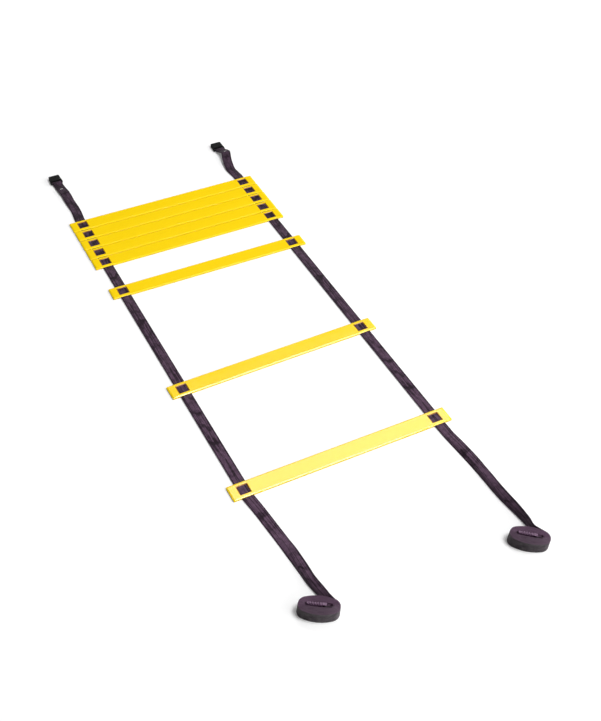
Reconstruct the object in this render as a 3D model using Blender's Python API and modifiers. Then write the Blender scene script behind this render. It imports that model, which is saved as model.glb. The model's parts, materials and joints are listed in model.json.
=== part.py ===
"""Agility ladder: eight flat plastic rungs that slide on two webbing straps.

The ladder lies on the ground along Y, with +X to the right and +Z up. Five rungs are pushed together
at the far end (+Y) and three are spread out. Each strap ends at the far end in a buckle socket, and at
the near end it is wound on edge into an oval roll with the buckle's plug in its core.
All lengths are in metres and all angles in degrees.
"""

import math

import bmesh
import bpy
import numpy as np
from mathutils import Matrix, Vector

# Driving dimensions of the rungs
RUNG_LENGTH = 0.502
RUNG_WIDTH = 0.040
RUNG_THICKNESS = 0.004
RUNG_CORNER_RADIUS = 0.002
RUNG_CHAMFER_REACH = 0.0015
RUNG_CHAMFER_DROP = 0.00085
WINDOW_ACROSS = 0.0212
WINDOW_ALONG = 0.021
WINDOW_CHAMFER = 0.0006
BRIDGE_THICKNESS = 0.0009
GATE_MARK_RADIUS = 0.0016
GATE_MARK_DEPTH = 0.0004
RUNG_SMOOTH_ANGLE = 20.0

# Driving dimensions of the webbing, whose middle runs at the inset from each end of a rung
STRAP_INSET = 0.03025
WEBBING_WIDTH = 0.025
WEBBING_THICKNESS = 0.0011
SIDE_CLEARANCE = 0.0008
FACE_CLEARANCE = 0.00035
TOUCH_GAP = 0.0003

# Where the rungs lie, measured from the near one, and where the near one lies in the whole
NEAR_RUNG_PLACE = (0.0016, -0.41, 0.0)
SPACING_8_TO_7 = 0.3188
SPACING_7_TO_6 = 0.3611
SPACING_6_TO_5 = 0.1251
PACK_GAP = 0.0015
RUNG_YAW = {8: -0.16, 7: 0.68, 6: -1.05, 5: -0.77, 4: -0.77, 3: -0.77, 2: -0.77, 1: -0.77}

# Buckle socket: a block with a mouth, two cheeks and the bar that the webbing goes round
BAR_RADIUS = 0.0016
BAR_HEIGHT = 0.0039
BLOCK_WIDTH = 0.029
BLOCK_LENGTH = 0.022
BLOCK_THICKNESS = 0.0096
BLOCK_CORNER_RADIUS = 0.003
BLOCK_EDGE_RADIUS = 0.0012
BLOCK_SETBACK = 0.0055
CHEEK_WIDTH = 0.0026
CHEEK_RADIUS = 0.0033
MOUTH_WIDTH = 0.0246
MOUTH_HEIGHT = 0.0062
MOUTH_DEPTH = 0.0185
SIDE_WINDOW_LENGTH = 0.0095
SIDE_WINDOW_SETBACK = 0.0045
PANEL_WIDTH = 0.013
PANEL_LENGTH = 0.0085
PANEL_DEPTH = 0.0004

# Buckle plug: a base with two springy arms, a guide tongue and a bar
PLUG_WIDTH = 0.029
PLUG_THICKNESS = 0.0058
PLUG_EDGE_RADIUS = 0.0004
PLUG_SLOT = 0.0038
PLUG_BASE_LENGTH = 0.0075
PLUG_RAIL_WIDTH = 0.0016
PLUG_TAIL = 0.0009
ARM_LENGTH = 0.0205
ARM_WIDTH = 0.0028
ARM_HEAD_LENGTH = 0.0068
ARM_HEAD_WIDTH = 0.0048
ARM_INSET = 0.0016
TONGUE_WIDTH = 0.0042
TONGUE_LENGTH = 0.0185

# Far end of each strap: the fold round the bar and its bartack
FOLD_LENGTH = 0.060
FOLD_BLEND = 0.016
STRAIGHT_PAST_PACK = 0.012
BARTACK_ACROSS = 0.007
BARTACK_ALONG = 0.004
BARTACK_HEIGHT = 0.0006
BARTACK_SETBACK = 0.034

# The oval roll at the near end of each strap: the distance between the centres of its end arcs, and how
# far its long sides swell past those arcs
ROLL_STRAIGHT = 0.044
CORE_CLEARANCE = 0.0007
ROLL_BULGE = 0.0042
WIND_PITCH = 0.0016
WIND_TURNS = 8
CORE_LIFT = 0.0023
LOOP_POINTS = 24
ARC_POINTS = 8
PLUG_BAR_OFFSET = 0.012
WAIST_SHARE = 0.9
TAIL_NEAR_SHARE = 0.45
TAIL_END_SHARE = 0.85
SETTLE_SHARE = 0.2

# How each strap lies, left then right: the reach, sideways drift and rise of its far end, and the
# place and turn of its roll
LEFT_FAR_REACH = 0.1808
LEFT_FAR_DRIFT = -0.0016
LEFT_FAR_RISE = 0.0030
LEFT_ROLL_ASIDE = 0.0006
LEFT_ROLL_REACH = 0.2988
LEFT_ROLL_TURN = -33.0
RIGHT_FAR_REACH = 0.1368
RIGHT_FAR_DRIFT = 0.0070
RIGHT_FAR_RISE = 0.0125
RIGHT_ROLL_ASIDE = -0.0141
RIGHT_ROLL_REACH = 0.3384
RIGHT_ROLL_TURN = -40.0

# Route of the far stretch: share of its reach, share of its drift, share of its rise
LEFT_FAR_SHARES = (
    (0.0, 0.0, 0.0), (0.231, -2.2, 0.1), (0.458, -1.3, 0.5), (0.646, -1.5, 1.0), (0.84, 0.3, 0.35), (1.0, 1.0, 0.0)
)
RIGHT_FAR_SHARES = (
    (0.0, 0.0, 0.0), (0.123, -0.3, 0.01), (0.269, -0.5, 0.10), (0.474, 0.12, 0.53),
    (0.598, 0.75, 0.84), (0.693, 1.35, 1.0), (0.751, 1.55, 1.0), (0.876, 1.3, 0.48), (1.0, 1.0, 0.0),
)

# Route of the near stretch's lower edge: share of its reach, share of its drift
LEFT_NEAR_SHARES = (
    (0.0, 0.0), (0.131, 0.119), (0.282, 0.218), (0.426, 0.310), (0.568, 0.387), (0.709, 0.462),
    (0.787, 0.510), (0.863, 0.607), (0.935, 0.739), (0.971, 0.867), (1.0, 1.0),
)
RIGHT_NEAR_SHARES = (
    (0.0, 0.0), (0.115, 0.042), (0.247, 0.147), (0.373, 0.245), (0.496, 0.300), (0.619, 0.346),
    (0.708, 0.444), (0.803, 0.583), (0.875, 0.654), (0.909, 0.625), (0.937, 0.636), (0.965, 0.783),
    (1.0, 1.0),
)

# How the webbing stands up on its way to the roll: share of the reach, then as shares of upright the
# slope of its lower edge and of its upper edge
LEFT_CURL_SHARES = (
    (0.0, 0.0, 0.0), (0.52, 0.0, 0.0), (0.64, 0.33, 0.10), (0.76, 0.72, 0.36), (0.85, 0.84, 0.50),
    (0.94, 0.96, 0.76), (1.0, 1.0, 1.0),
)
RIGHT_CURL_SHARES = (
    (0.0, 0.0, 0.0), (0.10, 0.0, 0.0), (0.26, 0.30, 0.12), (0.44, 0.56, 0.36), (0.58, 0.80, 0.56),
    (0.72, 0.96, 0.76), (0.84, 1.0, 0.93), (1.0, 1.0, 1.0),
)

SIDES = {
    "left": {
        "sign": -1,
        "far_reach": LEFT_FAR_REACH,
        "far_drift": LEFT_FAR_DRIFT,
        "far_rise": LEFT_FAR_RISE,
        "roll_aside": LEFT_ROLL_ASIDE,
        "roll_reach": LEFT_ROLL_REACH,
        "roll_turn": LEFT_ROLL_TURN,
        "far_shares": LEFT_FAR_SHARES,
        "near_shares": LEFT_NEAR_SHARES,
        "curl_shares": LEFT_CURL_SHARES,
    },
    "right": {
        "sign": 1,
        "far_reach": RIGHT_FAR_REACH,
        "far_drift": RIGHT_FAR_DRIFT,
        "far_rise": RIGHT_FAR_RISE,
        "roll_aside": RIGHT_ROLL_ASIDE,
        "roll_reach": RIGHT_ROLL_REACH,
        "roll_turn": RIGHT_ROLL_TURN,
        "far_shares": RIGHT_FAR_SHARES,
        "near_shares": RIGHT_NEAR_SHARES,
        "curl_shares": RIGHT_CURL_SHARES,
    },
}

CUT_OVERRUN = 0.001
STRIP_COLUMNS = 4
ROUND_STEPS = 4
NEAR_STATIONS = 34
FAR_STATIONS = 22
BAR_SIDES = 16
TURN_STEPS = 6
NEIGHBOUR_STEPS = 3.5
UPRIGHT = 90.0

# Worked out from the sizes above
STRAP_SPACING = RUNG_LENGTH - 2 * STRAP_INSET
PACK_PITCH = RUNG_WIDTH + PACK_GAP
RUN_HEIGHT = BRIDGE_THICKNESS + FACE_CLEARANCE + WEBBING_THICKNESS / 2
TUNNEL_TOP = RUN_HEIGHT + WEBBING_THICKNESS / 2 + FACE_CLEARANCE
TUNNEL_WIDTH = WEBBING_WIDTH + 2 * SIDE_CLEARANCE
LOOP_RADIUS = BAR_RADIUS + FACE_CLEARANCE + WEBBING_THICKNESS / 2
LAYER_STEP = WEBBING_THICKNESS + FACE_CLEARANCE
INNER_TURN = PLUG_THICKNESS / 2 + CORE_CLEARANCE + WEBBING_THICKNESS / 2
OUTER_TURN = INNER_TURN + WIND_PITCH * WIND_TURNS

YELLOW = (0.93, 0.66, 0.02, 1.0)
WEBBING_COLOUR = (0.055, 0.038, 0.058, 1.0)
BLACK = (0.012, 0.012, 0.013, 1.0)
THREAD = (0.45, 0.44, 0.43, 1.0)


def clear_scene():
    for obj in list(bpy.data.objects):
        bpy.data.objects.remove(obj, do_unlink=True)


def collection(name):
    made = bpy.data.collections.new(name)
    bpy.context.scene.collection.children.link(made)
    return made


def material(name, colour, roughness):
    made = bpy.data.materials.new(name)
    made.use_nodes = True
    shader = made.node_tree.nodes["Principled BSDF"]
    shader.inputs["Base Color"].default_value = colour
    shader.inputs["Roughness"].default_value = roughness
    shader.inputs["Metallic"].default_value = 0.0
    return made


def add_object(name, mesh, home, finish=None):
    obj = bpy.data.objects.new(name, mesh)
    home.objects.link(obj)
    if finish:
        mesh.materials.clear()
        mesh.materials.append(finish)
    return obj


def mesh_from(bm, name):
    mesh = bpy.data.meshes.new(name)
    bm.to_mesh(mesh)
    bm.free()
    return mesh


def box_bmesh(size, centre):
    bm = bmesh.new()
    bmesh.ops.create_cube(bm, size=1)
    bmesh.ops.scale(bm, vec=size, verts=bm.verts)
    bmesh.ops.translate(bm, vec=centre, verts=bm.verts)
    return bm


def bevel_rims(bm, radius, segments):
    """Bevel every edge between a level face and an upright one."""
    bm.normal_update()
    flat = [{abs(f.normal.z) > 0.5 for f in e.link_faces} for e in bm.edges]
    rims = [e for e, kinds in zip(bm.edges, flat) if len(kinds) == 2]
    bmesh.ops.bevel(bm, geom=rims, offset=radius, segments=segments, profile=0.5, affect="EDGES")


def round_uprights(bm, radius):
    """Round the upright edges of a box."""
    upright = [e for e in bm.edges if (e.verts[0].co.xy - e.verts[1].co.xy).length == 0]
    bmesh.ops.bevel(bm, geom=upright, offset=radius, segments=ROUND_STEPS, profile=0.5, affect="EDGES")


def rounded_box(size, centre, corner_radius, edge_radius):
    """A box whose upright edges are rounded and whose top and bottom rims are bevelled."""
    bm = box_bmesh(size, (0, 0, 0))
    round_uprights(bm, corner_radius)
    bevel_rims(bm, edge_radius, 2)
    bmesh.ops.translate(bm, vec=centre, verts=bm.verts)
    return bm


def rod(radius, length, sides, centre=(0, 0, 0)):
    """A closed cylinder along X."""
    bm = bmesh.new()
    bmesh.ops.create_cone(
        bm, cap_ends=True, segments=sides, radius1=radius, radius2=radius, depth=length
    )
    bmesh.ops.rotate(bm, matrix=Matrix.Rotation(math.pi / 2, 3, "Y"), verts=bm.verts)
    bmesh.ops.translate(bm, vec=centre, verts=bm.verts)
    return bm


def cutter(name, bm):
    obj = add_object(name, mesh_from(bm, name), CUTTERS)
    obj.hide_render = True
    obj.display_type = "WIRE"
    return obj


def combined(name, bm, cuts=(), joins=()):
    """The mesh that is left when joins are united with bm and cuts are taken out of it."""
    base = cutter(name + "_blank", bm)
    for operation, tools in (("UNION", joins), ("DIFFERENCE", cuts)):
        for number, tool in enumerate(tools):
            step = base.modifiers.new(f"{operation.lower()}_{number}", "BOOLEAN")
            step.operation = operation
            step.solver = "EXACT"
            step.object = cutter(f"{name}_{operation.lower()}_{number}", tool)
    bpy.context.view_layer.update()
    mesh = bpy.data.meshes.new_from_object(base.evaluated_get(bpy.context.evaluated_depsgraph_get()))
    base.modifiers.clear()
    mesh.name = name
    return mesh


def smooth(mesh, angle=35.0):
    mesh.shade_smooth()
    mesh.set_sharp_from_angle(angle=math.radians(angle))
    return mesh


def window_cutter(x):
    """The window's opening from the bridge up."""
    floor, top = BRIDGE_THICKNESS, RUNG_THICKNESS + CUT_OVERRUN
    return box_bmesh((WINDOW_ACROSS, WINDOW_ALONG, top - floor), (x, 0, (top + floor) / 2))


def chamfer_cutter(x):
    """A flat-topped wedge that bevels the rim of the window."""
    reach = WINDOW_CHAMFER + CUT_OVERRUN
    low = RUNG_THICKNESS - WINDOW_CHAMFER
    bm = box_bmesh((WINDOW_ACROSS, WINDOW_ALONG, reach), (0, 0, reach / 2))
    for vert in bm.verts:
        if vert.co.z > reach / 2:
            vert.co.x += math.copysign(reach, vert.co.x)
            vert.co.y += math.copysign(reach, vert.co.y)
    bmesh.ops.translate(bm, vec=(x, 0, low), verts=bm.verts)
    return bm


def plate_bmesh():
    """The rung before its windows are cut: a plate with round corners and a chamfer round its top."""
    bm = box_bmesh((RUNG_LENGTH, RUNG_WIDTH, RUNG_THICKNESS), (0, 0, RUNG_THICKNESS / 2))
    round_uprights(bm, RUNG_CORNER_RADIUS)
    bm.normal_update()
    top = next(f for f in bm.faces if f.normal.z > 0.5)
    bmesh.ops.inset_region(bm, faces=[top], thickness=RUNG_CHAMFER_REACH, use_even_offset=True)
    inner = set(top.verts)
    for vert in bm.verts:
        if vert.co.z > RUNG_THICKNESS / 2 and vert not in inner:
            vert.co.z -= RUNG_CHAMFER_DROP
    return bm


def rung_mesh():
    """One rung: two bars pass over the strap at each end, and a bridge passes under it."""
    cuts = []
    bar = (RUNG_WIDTH - WINDOW_ALONG) / 2
    for x in (-STRAP_SPACING / 2, STRAP_SPACING / 2):
        for side in (-1, 1):
            channel = (TUNNEL_WIDTH, bar + CUT_OVERRUN, TUNNEL_TOP + CUT_OVERRUN)
            y = side * (WINDOW_ALONG + bar + CUT_OVERRUN) / 2
            cuts.append(box_bmesh(channel, (x, y, (TUNNEL_TOP - CUT_OVERRUN) / 2)))
        slot = (TUNNEL_WIDTH, WINDOW_ALONG + CUT_OVERRUN, TUNNEL_TOP - BRIDGE_THICKNESS)
        cuts.append(box_bmesh(slot, (x, 0, (TUNNEL_TOP + BRIDGE_THICKNESS) / 2)))
        cuts.append(window_cutter(x))
        cuts.append(chamfer_cutter(x))
    mark = bmesh.new()
    bmesh.ops.create_cone(
        mark,
        cap_ends=True,
        segments=BAR_SIDES,
        radius1=GATE_MARK_RADIUS / 2,
        radius2=GATE_MARK_RADIUS,
        depth=2 * GATE_MARK_DEPTH,
    )
    bmesh.ops.translate(mark, vec=(0, 0, RUNG_THICKNESS), verts=mark.verts)
    cuts.append(mark)
    return smooth(combined("rung", plate_bmesh(), cuts=cuts), RUNG_SMOOTH_ANGLE)


def rung_places():
    """Each rung's number and the Y of its middle, from the near rung to the far one."""
    y, places = 0, []
    steps = [0, SPACING_8_TO_7, SPACING_7_TO_6, SPACING_6_TO_5] + [PACK_PITCH] * 4
    for number, step in zip(range(8, 0, -1), steps):
        y += step
        places.append((number, y))
    return places


def add_rungs(finish):
    mesh = rung_mesh()
    for number, y in rung_places():
        rung = add_object(f"rung_{number}", mesh, PARTS, finish)
        rung.location.y = y
        rung.rotation_euler.z = math.radians(RUNG_YAW[number])


def through(points, count):
    """Points at even shares of a smooth curve through the given ones."""
    points = np.array(points, float)
    ends = (2 * points[0] - points[1], 2 * points[-1] - points[-2])
    p = np.vstack([ends[0], points, ends[1]])
    knots = np.linspace(0, len(points) - 1, count)
    found = []
    for knot in knots:
        i = min(int(knot), len(points) - 2)
        t = knot - i
        a, b, c, d = p[i : i + 4]
        tangent_b, tangent_c = (c - a) / 2, (d - b) / 2
        found.append(
            (2 * t**3 - 3 * t**2 + 1) * b
            + (t**3 - 2 * t**2 + t) * tangent_b
            + (3 * t**2 - 2 * t**3) * c
            + (t**3 - t**2) * tangent_c
        )
    return np.array(found)


def headings(points):
    """The unit direction of travel over the ground at each point."""
    flat = np.gradient(np.array(points)[:, :2], axis=0)
    return flat / np.linalg.norm(flat, axis=1)[:, None]


def across(edge, side, low_slope=0.0, high_slope=0.0):
    """A line of points over the webbing's width. It starts at edge and leans from one slope to the other."""
    shares = np.linspace(0, 1, STRIP_COLUMNS + 1)
    middle = (shares[:-1] + shares[1:]) / 2
    slopes = np.radians(low_slope + (high_slope - low_slope) * middle)
    run = np.concatenate([[0], np.cumsum(np.cos(slopes))]) * WEBBING_WIDTH / STRIP_COLUMNS
    rise = np.concatenate([[0], np.cumsum(np.sin(slopes))]) * WEBBING_WIDTH / STRIP_COLUMNS
    edge, side = np.array(edge, float), np.array([side[0], side[1], 0.0])
    return edge + run[:, None] * side + rise[:, None] * np.array([0, 0, 1.0])


def ribbon(name, lines, finish):
    """Webbing: an open surface through the lines of points, with Solidify for its thickness."""
    columns = len(lines[0])
    bm = bmesh.new()
    rows = [[bm.verts.new(point) for point in line] for line in lines]
    for near, far in zip(rows, rows[1:]):
        for k in range(columns - 1):
            bm.faces.new((near[k], near[k + 1], far[k + 1], far[k]))
    strip = add_object(name, mesh_from(bm, name), PARTS, finish)
    thickness = strip.modifiers.new("thickness", "SOLIDIFY")
    thickness.thickness = WEBBING_THICKNESS
    thickness.offset = 0.0
    thickness.use_even_offset = True
    return strip


def run_ends():
    """The Y of the near end and the far end of the straps' straight run, where the rungs slide."""
    return -RUNG_WIDTH / 2, rung_places()[-1][1] + RUNG_WIDTH / 2 + STRAIGHT_PAST_PACK


def bar_place(which):
    """The middle of the socket's bar."""
    side = SIDES[which]
    x = side["sign"] * STRAP_SPACING / 2 + side["far_drift"]
    return Vector((x, run_ends()[1] + side["far_reach"], BAR_HEIGHT))


def far_middle(which):
    """The middle of the lower layer from the end of the straight run to the bar."""
    side = SIDES[which]
    start = run_ends()[1] + TOUCH_GAP
    reach = side["far_reach"] - TOUCH_GAP
    x0 = side["sign"] * STRAP_SPACING / 2
    route = through(side["far_shares"], FAR_STATIONS)
    under_bar = BAR_HEIGHT - LOOP_RADIUS
    points = []
    for along, drift, rise in route:
        level = RUN_HEIGHT + (under_bar - RUN_HEIGHT) * along
        points.append(
            (x0 + drift * side["far_drift"], start + along * reach, level + rise * side["far_rise"])
        )
    return np.array(points)


def upper_layer(lower):
    """The folded-back layer: it follows the lower one and rises to the top of the bar."""
    length = np.concatenate([[0], np.cumsum(np.linalg.norm(np.diff(lower, axis=0), axis=1))])
    left = length[-1] - length
    folded = [i for i in range(len(lower)) if left[i] <= FOLD_LENGTH]
    points = []
    for i in folded:
        near_bar = max(0.0, 1 - left[i] / FOLD_BLEND)
        lift = LAYER_STEP + (2 * LOOP_RADIUS - LAYER_STEP) * near_bar**2 * (3 - 2 * near_bar)
        points.append(lower[i] + np.array([0, 0, lift]))
    return np.array(points)


def flat_lines(points, sides):
    half = WEBBING_WIDTH / 2
    return [
        across((p[0] - half * s[0], p[1] - half * s[1], p[2]), s) for p, s in zip(points, sides)
    ]


def far_lines(which):
    """Lines of the far end: the folded layer, the turn round the bar and the lower layer back."""
    lower = far_middle(which)
    turned = headings(lower)
    turned[0] = turned[-1] = (0, 1)
    sides = np.stack([turned[:, 1], -turned[:, 0]], axis=1)
    upper = upper_layer(lower)
    lines = flat_lines(upper, sides[-len(upper) :])
    bar = bar_place(which)
    for step in range(1, TURN_STEPS):
        angle = math.pi / 2 - math.pi * step / TURN_STEPS
        middle = (bar.x, bar.y + LOOP_RADIUS * math.cos(angle), bar.z + LOOP_RADIUS * math.sin(angle))
        lines += flat_lines([middle], [(1.0, 0.0)])
    return lines + flat_lines(lower[::-1], sides[::-1])


def roll_point(step):
    """Where a step of the winding lies in the roll's own plane, first along its length, then across.

    Each turn is an oval of four arcs that meet smoothly: a tight one at each end and a wide one along each
    side. The steps run inward: round the +length end, along the near side, round the other end, and back."""
    half = ROLL_STRAIGHT / 2
    radius = OUTER_TURN - WIND_PITCH * step / LOOP_POINTS
    bulge = ROLL_BULGE * radius / OUTER_TURN
    far_centre = (half**2 - bulge**2) / (2 * bulge)
    spread = math.atan2(half, far_centre)
    place = step % LOOP_POINTS
    end, sign = (place, 1) if place < LOOP_POINTS // 2 else (place - LOOP_POINTS // 2, -1)
    if end < ARC_POINTS:
        angle = (math.pi / 2 - spread) * (1 - 2 * end / (ARC_POINTS - 1))
        return sign * (half + radius * math.cos(angle)), sign * radius * math.sin(angle)
    turn = spread * (1 - 2 * (end - ARC_POINTS + 1) / (LOOP_POINTS // 2 - ARC_POINTS + 1))
    wide = radius + bulge + far_centre
    return sign * wide * math.sin(turn), sign * (far_centre - wide * math.cos(turn))


def core_points():
    """The winding's inner end: round the end of the core, to the plug's bar, round it and back."""
    last = roll_point(WIND_TURNS * LOOP_POINTS)
    half = ROLL_STRAIGHT / 2
    top, bottom = last[1], -LOOP_RADIUS
    middle, radius = (top + bottom) / 2, (top - bottom) / 2
    points = []
    for step in range(1, ARC_POINTS):
        angle = math.pi / 2 - math.pi * step / (ARC_POINTS - 1)
        points.append((half + radius * math.cos(angle), middle + radius * math.sin(angle)))
    free = half - PLUG_BAR_OFFSET
    waist = LAYER_STEP * WAIST_SHARE
    points.append((PLUG_BAR_OFFSET + TAIL_NEAR_SHARE * free, -waist))
    for step in range(TURN_STEPS + 1):
        angle = -math.pi / 2 - math.pi * step / TURN_STEPS
        points.append((PLUG_BAR_OFFSET + LOOP_RADIUS * math.cos(angle), LOOP_RADIUS * math.sin(angle)))
    points.append((PLUG_BAR_OFFSET + TAIL_NEAR_SHARE * free, waist))
    points.append((PLUG_BAR_OFFSET + TAIL_END_SHARE * free, waist))
    return points


def roll_frame(which):
    """The roll's matrix: its own length along X and its breadth along Y."""
    side = SIDES[which]
    y = run_ends()[0] - side["roll_reach"]
    x = side["sign"] * STRAP_SPACING / 2 + side["roll_aside"]
    return Matrix.Translation((x, y, 0)) @ Matrix.Rotation(math.radians(side["roll_turn"]), 4, "Z")


def winding(which):
    """The winding's bottom edge from its outer end inward, in the world."""
    flat = [roll_point(step) for step in range(WIND_TURNS * LOOP_POINTS + 1)] + core_points()
    frame = roll_frame(which)
    lifts = np.linspace(0, 1, len(flat)) * CORE_LIFT
    return [frame @ Vector((u, v, lift)) for (u, v), lift in zip(flat, lifts)]


def least_gap(points):
    """The least clear distance between two stretches of the winding that aren't neighbours."""
    line = np.array([(p[0], p[1]) for p in points])
    start, step = line[:-1], np.diff(line, axis=0)
    least = math.inf
    for i, point in enumerate(line):
        share = ((point - start) * step).sum(1) / (step**2).sum(1)
        nearest = start + np.clip(share, 0, 1)[:, None] * step
        distance = np.linalg.norm(point - nearest, axis=1)
        apart = np.abs(np.arange(len(start)) + 0.5 - i) > NEIGHBOUR_STEPS
        least = min(least, distance[apart].min())
    return least - WEBBING_THICKNESS


def add_roll(which, finish):
    points = winding(which)
    print(f"strap_roll_{which}: least gap {1000 * least_gap(points):.3f} mm over {len(points)} points")
    lines = [(p, p + Vector((0, 0, WEBBING_WIDTH))) for p in points]
    ribbon(f"strap_roll_{which}", lines, finish)


def near_lines(which):
    """Lines of the lead to the roll: it leaves the near rung flat and ends standing on edge."""
    side = SIDES[which]
    x0 = side["sign"] * STRAP_SPACING / 2 - WEBBING_WIDTH / 2
    y0 = run_ends()[0] - TOUCH_GAP
    roll_start = winding(which)[0]
    drift, reach = roll_start.x - x0, roll_start.y - y0
    route = through(side["near_shares"], NEAR_STATIONS)
    curl = np.array(side["curl_shares"])
    edge = np.array([(x0 + d * drift, y0 + a * reach, 0) for a, d in route])
    turned = headings(edge)
    turned[0] = (0, -1)
    lines = []
    for (along, _), point, way in zip(route, edge, turned):
        low = UPRIGHT * np.interp(along, curl[:, 0], curl[:, 1])
        high = UPRIGHT * np.interp(along, curl[:, 0], curl[:, 2])
        settled = min(1.0, along / SETTLE_SHARE)
        height = RUN_HEIGHT + (WEBBING_THICKNESS / 2 + TOUCH_GAP - RUN_HEIGHT) * settled**2 * (3 - 2 * settled)
        point = point + np.array([0, 0, height * math.cos(math.radians(low))])
        lines.append(across(point, (-way[1], way[0]), low, high))
    gap = TOUCH_GAP * np.array([turned[-1][0], turned[-1][1], 0])
    lines[-1] = lines[-1] - gap
    return lines


def run_lines(which):
    """The straight run, flat on the rungs' bridges, between the two bent stretches."""
    x = SIDES[which]["sign"] * STRAP_SPACING / 2
    return flat_lines([(x, y, RUN_HEIGHT) for y in run_ends()], [(-1.0, 0.0)] * 2)


def add_strap(which, finish):
    ribbon(f"strap_end_{which}", far_lines(which), finish)
    ribbon(f"strap_run_{which}", run_lines(which), finish)
    ribbon(f"strap_lead_{which}", near_lines(which), finish)


def socket_mesh():
    """The socket round its bar: the bar lies along X at the origin and the mouth faces +Y."""
    width = BLOCK_WIDTH + 2 * (CHEEK_WIDTH - (BLOCK_WIDTH - TUNNEL_WIDTH) / 2)
    middle_z = BLOCK_THICKNESS / 2 - BAR_HEIGHT
    middle_y = BLOCK_SETBACK + BLOCK_LENGTH / 2
    front = BLOCK_SETBACK + BLOCK_LENGTH
    blank = rounded_box(
        (BLOCK_WIDTH, BLOCK_LENGTH, BLOCK_THICKNESS),
        (0, middle_y, middle_z),
        BLOCK_CORNER_RADIUS,
        BLOCK_EDGE_RADIUS,
    )
    joins = [rod(BAR_RADIUS, width - CHEEK_WIDTH, BAR_SIDES)]
    for sign in (-1, 1):
        x = sign * (width - CHEEK_WIDTH) / 2
        joins.append(rod(CHEEK_RADIUS, CHEEK_WIDTH, BAR_SIDES, (x, 0, 0)))
        length = BLOCK_SETBACK + BLOCK_CORNER_RADIUS
        joins.append(box_bmesh((CHEEK_WIDTH, length, 2 * CHEEK_RADIUS), (x, length / 2, 0)))
    mouth = (MOUTH_WIDTH, MOUTH_DEPTH + CUT_OVERRUN, MOUTH_HEIGHT)
    cuts = [box_bmesh(mouth, (0, front - (MOUTH_DEPTH - CUT_OVERRUN) / 2, middle_z))]
    window_y = front - SIDE_WINDOW_SETBACK - SIDE_WINDOW_LENGTH / 2
    window = (BLOCK_WIDTH + 2 * CUT_OVERRUN, SIDE_WINDOW_LENGTH, MOUTH_HEIGHT)
    cuts.append(box_bmesh(window, (0, window_y, middle_z)))
    panel = (PANEL_WIDTH, PANEL_LENGTH, 2 * PANEL_DEPTH)
    cuts.append(box_bmesh(panel, (0, middle_y, middle_z + BLOCK_THICKNESS / 2)))
    return smooth(combined("socket", blank, cuts=cuts, joins=joins))


def add_sockets(finish):
    mesh = socket_mesh()
    for which in SIDES:
        hinge = bpy.data.objects.new(f"socket_{which}_hinge", None)
        PARTS.objects.link(hinge)
        hinge.location = bar_place(which)
        socket = add_object(f"socket_{which}", mesh, PARTS, finish)
        socket.parent = hinge


def plug_outline():
    """The right half of the plug's outline, from its tail to its tongue, with the bar at the origin."""
    half = PLUG_WIDTH / 2
    root = -(BAR_RADIUS + PLUG_SLOT)
    base = root - PLUG_BASE_LENGTH
    tip = base - ARM_LENGTH
    head = tip + ARM_HEAD_LENGTH
    outer = half - ARM_INSET
    inner = outer - ARM_WIDTH
    tail = BAR_RADIUS + PLUG_TAIL
    return [
        (half - PLUG_RAIL_WIDTH, tail),
        (half, tail),
        (half, base + 2 * ARM_INSET),
        (outer, base + ARM_INSET),
        (outer, head + ARM_INSET),
        (half, head),
        (half - ARM_INSET, tip),
        (half - ARM_HEAD_WIDTH, tip),
        (half - ARM_HEAD_WIDTH, head),
        (inner, head + ARM_INSET),
        (inner, base),
        (TONGUE_WIDTH / 2, base),
        (TONGUE_WIDTH / 2, base - TONGUE_LENGTH),
        (0, base - TONGUE_LENGTH - ARM_INSET),
    ]


def outline_bmesh(name, points, thickness, edge_radius):
    """A flat outline, filled and extruded to its thickness, with its rims bevelled."""
    curve = bpy.data.curves.new(name, "CURVE")
    curve.dimensions = "2D"
    curve.fill_mode = "BOTH"
    curve.extrude = thickness / 2
    spline = curve.splines.new("POLY")
    spline.points.add(len(points) - 1)
    for point, (x, y) in zip(spline.points, points):
        point.co = (x, y, 0, 1)
    spline.use_cyclic_u = True
    drawn = add_object(name, curve, CUTTERS)
    bpy.context.view_layer.update()
    mesh = bpy.data.meshes.new_from_object(drawn.evaluated_get(bpy.context.evaluated_depsgraph_get()))
    bpy.data.objects.remove(drawn)
    bm = bmesh.new()
    bm.from_mesh(mesh)
    bmesh.ops.remove_doubles(bm, verts=bm.verts, dist=TOUCH_GAP / 10)
    bmesh.ops.recalc_face_normals(bm, faces=bm.faces)
    bevel_rims(bm, edge_radius, 1)
    return bm


def plug_mesh():
    """The plug with its bar along X at the origin and its arms towards -Y."""
    right = plug_outline()
    root = -(BAR_RADIUS + PLUG_SLOT)
    rail = PLUG_WIDTH / 2 - PLUG_RAIL_WIDTH
    right.insert(0, (rail, root))
    right.insert(0, (0, root))
    left = [(-x, y) for x, y in reversed(right) if x > 0]
    blank = outline_bmesh("plug_outline", right + left, PLUG_THICKNESS, PLUG_EDGE_RADIUS)
    joins = [rod(BAR_RADIUS, PLUG_WIDTH - PLUG_RAIL_WIDTH, BAR_SIDES)]
    return smooth(combined("plug", blank, joins=joins))


def add_plugs(finish):
    """Each plug stands on its side in the core of its roll, with its bar upright."""
    mesh = plug_mesh()
    upright = Matrix.Rotation(-math.pi / 2, 4, "Z") @ Matrix.Rotation(math.pi / 2, 4, "Y")
    for which in SIDES:
        plug = add_object(f"plug_{which}", mesh, PARTS, finish)
        middle = CORE_LIFT + WEBBING_WIDTH / 2
        place = roll_frame(which) @ Matrix.Translation((PLUG_BAR_OFFSET, 0, middle))
        plug.matrix_world = place @ upright


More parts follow.
